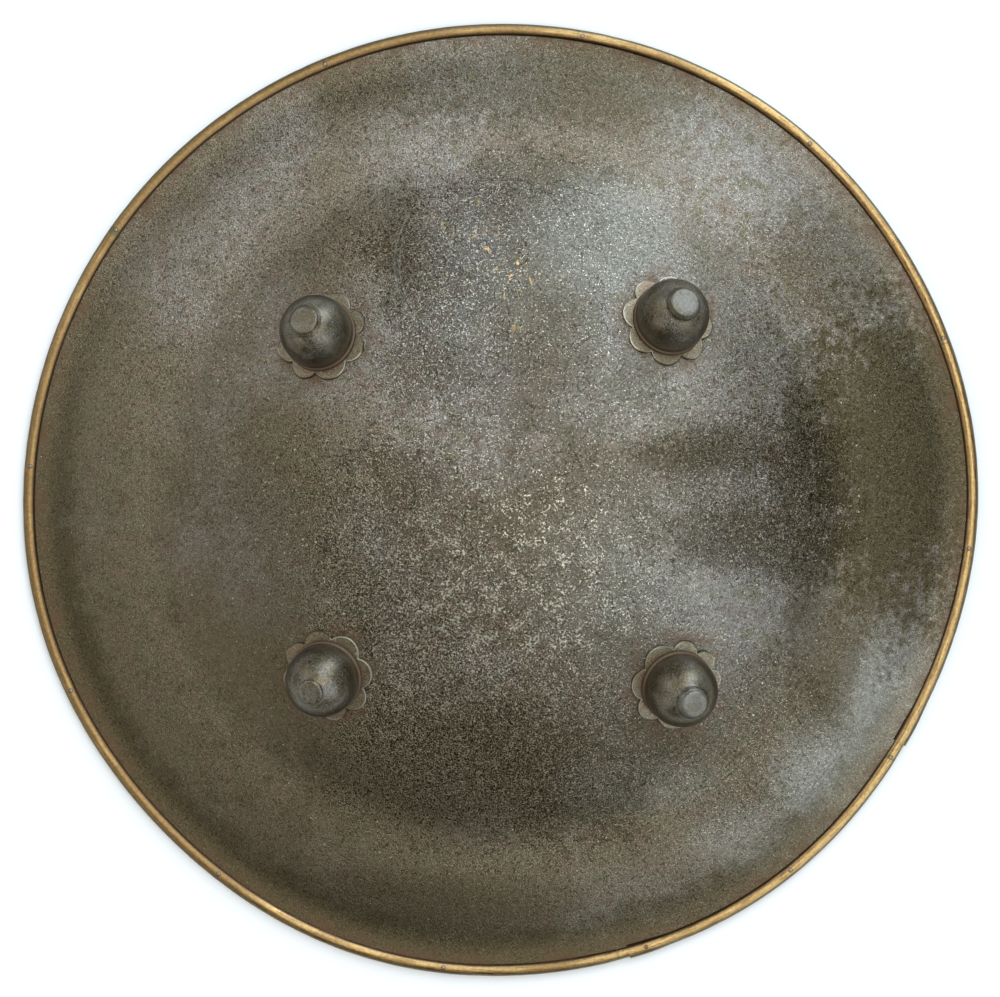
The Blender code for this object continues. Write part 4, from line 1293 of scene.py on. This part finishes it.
def boss_profile(neck_height, top_diameter):
    """Outline of a boss from the hammered end of its shank, under the foot and up to its flat top."""
    foot = BOSS_FOOT_DIAMETER / 2
    ball = BOSS_BALL_DIAMETER / 2
    shank = SHANK_DIAMETER / 2
    peen = shank + PEEN_LIP
    top = top_diameter / 2
    end = PEEN_SEAT - PEEN_HEIGHT
    profile = [(0.0, end), (peen * 0.6, end)]
    profile += rounded_corner(peen - PEEN_ROUNDING, end + PEEN_ROUNDING, PEEN_ROUNDING, -math.pi / 2)
    profile += [(peen, PEEN_SEAT), (shank, PEEN_SEAT), (shank, BOSS_SEAT), (foot, BOSS_SEAT)]
    foot_top = BOSS_SEAT + BOSS_FOOT_HEIGHT
    profile += rounded_corner(foot - FOOT_ROUNDING, foot_top - FOOT_ROUNDING, FOOT_ROUNDING, 0.0)
    middle = BOSS_SEAT + BOSS_BALL_RISE
    rising = FLARE_ANGLE
    shoulder = BOSS_SHOULDER_ANGLE

    # Hammering and dirt have softened the corner between foot and ball
    ledge = Vector((foot - FOOT_ROUNDING, foot_top))
    flank_tarnish_and_shade = Vector((ball * math.cos(rising), middle + ball * math.sin(rising)))
    inward = Vector((flank_tarnish_and_shade.x - 0.0002, foot_top))
    upward = Vector((flank_tarnish_and_shade.x - 0.0003, foot_top + 0.0010))
    flare = interpolate_bezier(ledge, inward, upward, flank_tarnish_and_shade, FLARE_POINTS)
    profile += [(point.x, point.y) for point in flare[1:-1]]
    for i in range(BALL_STEPS):
        angle = rising + (shoulder - rising) * i / BALL_STEPS
        profile.append((ball * math.cos(angle), middle + ball * math.sin(angle)))
    start = Vector((ball * math.cos(shoulder), middle + ball * math.sin(shoulder)))
    leaving = Vector((-math.sin(shoulder), math.cos(shoulder)))
    finish = Vector((top, start.y + neck_height))
    height = finish.y + BOSS_TOP_BEVEL
    finish.y = height - TOP_ROUNDING
    arriving = finish + Vector((NECK_FLARE, -NECK_HANDLE))
    neck = interpolate_bezier(start, start + leaving * NECK_HANDLE, arriving, finish, NECK_POINTS)
    profile += [(point.x, point.y) for point in neck[:-1]]
    profile += rounded_corner(top - TOP_ROUNDING, finish.y, TOP_ROUNDING, 0.0)
    profile += [(top * share, height) for share in (0.6, 0.4, 0.2, 0.0)]
    return profile


def boss_mesh(boss_place, neck_height, top_diameter, top_wear_and_highlight):
    bm = bmesh.new()
    profile = boss_profile(neck_height, top_diameter)
    points = [bm.verts.new((radius, 0.0, height)) for radius, height in profile]
    edges = [bm.edges.new(pair) for pair in zip(points, points[1:])]
    turn = {"cent": (0, 0, 0), "axis": (0, 0, 1), "angle": 2 * math.pi, "steps": BOSS_SIDES}
    bmesh.ops.spin(bm, geom=points + edges, **turn)
    bmesh.ops.remove_doubles(bm, verts=bm.verts, dist=1e-6)
    part = bm.verts.layers.float.new("part")
    wear_and_highlight = bm.verts.layers.float.new("wear_and_highlight")
    top_height = max(vert.co.z for vert in bm.verts)
    for vert in bm.verts:
        vert[part] = (vert.co.z - BOSS_SEAT) / (top_height - BOSS_SEAT)
        vert[wear_and_highlight] = top_wear_and_highlight
        for seat in (BOSS_SEAT, PEEN_SEAT):
            if abs(vert.co.z - seat) < 1e-6:
                vert.co = laid_on_plate(boss_place, vert.co.x, vert.co.y, seat)
    bmesh.ops.recalc_face_normals(bm, faces=bm.faces)
    bm.transform(Matrix.Translation(disc_middle) @ boss_place)
    mesh = bpy.data.meshes.new("boss")
    bm.to_mesh(mesh)
    bm.free()
    mesh.shade_smooth()
    mesh.set_sharp_from_angle(angle=math.radians(35))
    return mesh


BROWN_BOSS = (0.150, 0.126, 0.080)
GREY_BOSS = (0.188, 0.170, 0.136)
WORN_AND_LIT_BOSS_TOP = (0.285, 0.280, 0.250)
BROWN_BOSS_FOOT = (0.165, 0.115, 0.076)


def boss_steel_material():
    material, tree, shader, place = blank_metal("boss_steel")
    part = carried(tree, "part")
    wear_and_highlight = carried(tree, "wear_and_highlight")
    blotches = shader_noise(tree, place, 120.0, 4.0, 0.6)
    grain, pits = use_tree(tree, pitted_grain, {"Place": place, "Grain Size": 0.0010})
    colour = mixed_colour(tree, ranged(tree, blotches, 0.40, 0.60), BROWN_BOSS, GREY_BOSS)
    shade = maths(tree, "MULTIPLY_ADD", maths(tree, "SUBTRACT", grain, GRAIN_MEAN), 1.2, 0.95)
    colour = shaded_colour(tree, colour, shade)
    edge = maths(tree, "MULTIPLY_ADD", maths(tree, "SUBTRACT", blotches, 0.5), 0.10, part)
    # Pale scratched top: wear, with painted highlight on the bosses that face the light
    top = product(tree, ranged(tree, edge, 0.86, 0.975), wear_and_highlight)
    scratches_and_highlight = product(tree, top, ranged(tree, grain, 0.1, 0.7, 0.5, 1.0))
    scratches_and_highlight = product(tree, scratches_and_highlight, ranged(tree, blotches, 0.36, 0.56, 0.45, 1.0))
    colour = mixed_colour(tree, scratches_and_highlight, colour, WORN_AND_LIT_BOSS_TOP)
    foot = ranged(tree, part, 0.15, 0.06)
    colour = mixed_colour(tree, product(tree, foot, 0.9), colour, BROWN_BOSS_FOOT)
    tree.links.new(colour, shader.inputs["Base Color"])
    rough = maths(tree, "MULTIPLY_ADD", blotches, 0.20, 0.22)
    rough = maths(tree, "MULTIPLY_ADD", foot, 0.30, rough)
    tree.links.new(maths(tree, "MULTIPLY_ADD", top, 0.16, rough), shader.inputs["Roughness"])
    bumped(tree, shader, maths(tree, "SUBTRACT", grain, pits), 0.00006)
    return material


boss_steel = boss_steel_material()
for corner, (_, _, neck_height, top_diameter) in BOSSES.items():
    mesh = boss_mesh(boss_frames[corner], neck_height, top_diameter, BOSS_TOP_WEAR_AND_HIGHLIGHT[corner])
    turned = placed_object(f"turned_boss_{corner}", mesh)
    turned.data.materials.append(boss_steel)
    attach(turned, "root")
    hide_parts(f"boss_{corner}")

# The shield lies on a plain pale floor, under soft studio light, and the camera looks straight down on it,
# because the shield hangs square to the lens in the photograph.
CAMERA_HEIGHT = 1.0
SENSOR_WIDTH = 36.0
RIM_RADIUS_PIXELS = 475.96
IMAGE_WIDTH = 1000
CAMERA_SHIFT = (-0.0005, 0.00056)
PAPER_WHITE = (0.92, 0.92, 0.92)

floor_mesh = bpy.data.meshes.new("floor")
floor_corners = [(-3, -3, 0), (3, -3, 0), (3, 3, 0), (-3, 3, 0)]
floor_mesh.from_pydata(floor_corners, [], [(0, 1, 2, 3)])
floor = placed_object("floor", floor_mesh)
floor.location.z = cad_box[0][2]
paper = bpy.data.materials.new("paper")
paper.use_nodes = True
paper.node_tree.nodes["Principled BSDF"].inputs["Base Color"].default_value = (*PAPER_WHITE, 1.0)
paper.node_tree.nodes["Principled BSDF"].inputs["Roughness"].default_value = 1.0
floor_mesh.materials.append(paper)

# Each soft light: turn round the shield, lean from straight overhead, strength, spread, coolness
SOFT_LIGHTS = (
    (0, 0, 1.9, 14, 0.15),
    (12, 17, 2.1, 10, -0.1),
    (60, 24, 2.3, 13, 0.7),
    (68, 44, 2.9, 13, 1.1),
    (60, 64, 5.6, 13, 1.3),
    (-60, 24, 1.0, 13, 0.0),
    (-36, 44, 2.8, 12, 1.5),
    (-45, 64, 1.2, 17, 0.6),
    (150, 45, 1.5, 14, 0.9),
    (152, 64, 1.2, 14, 0.4),
    (210, 62, 1.7, 14, 0.2),
)
SKY_DIM = (0.046, 0.041, 0.031)
WARM_LIGHT = Vector((1.04, 1.0, 0.90))
COOLING = Vector((-0.15, 0.0, 0.22))
world = bpy.data.worlds.new("studio")
world.use_nodes = True
bpy.context.scene.world = world
sky = world.node_tree
direction = put(sky, "ShaderNodeTexCoord").outputs["Generated"]
glow = SKY_DIM
for turn, lean, strength, width, coolness in SOFT_LIGHTS:
    turn, lean = math.radians(turn), math.radians(lean)
    heading = (math.sin(lean) * math.cos(turn), math.sin(lean) * math.sin(turn), math.cos(lean))
    facing = vectors(sky, "DOT_PRODUCT", direction, heading)
    edge = math.cos(math.radians(width))
    sharpness = -math.log(0.5) / (1.0 - edge)
    fall = maths(sky, "EXPONENT", maths(sky, "MULTIPLY", maths(sky, "SUBTRACT", facing, 1.0), sharpness))
    tint = (WARM_LIGHT + COOLING * coolness) * strength
    glow = vectors(sky, "MULTIPLY_ADD", fall, tuple(tint), glow)
sky.links.new(glow, sky.nodes["Background"].inputs["Color"])
sky.nodes["Background"].inputs["Strength"].default_value = 1.0

eye = bpy.data.cameras.new("camera")
eye.sensor_width = SENSOR_WIDTH
pixel = OUTER_DIAMETER / 2 / RIM_RADIUS_PIXELS
eye.lens = SENSOR_WIDTH * (CAMERA_HEIGHT - BEAD_RISE) / (IMAGE_WIDTH * pixel)
camera = bpy.data.objects.new("camera", eye)
camera.location = (CAMERA_SHIFT[0], CAMERA_SHIFT[1], CAMERA_HEIGHT)
bpy.context.collection.objects.link(camera)
bpy.context.scene.camera = camera
bpy.context.scene.view_settings.view_transform = "Standard"
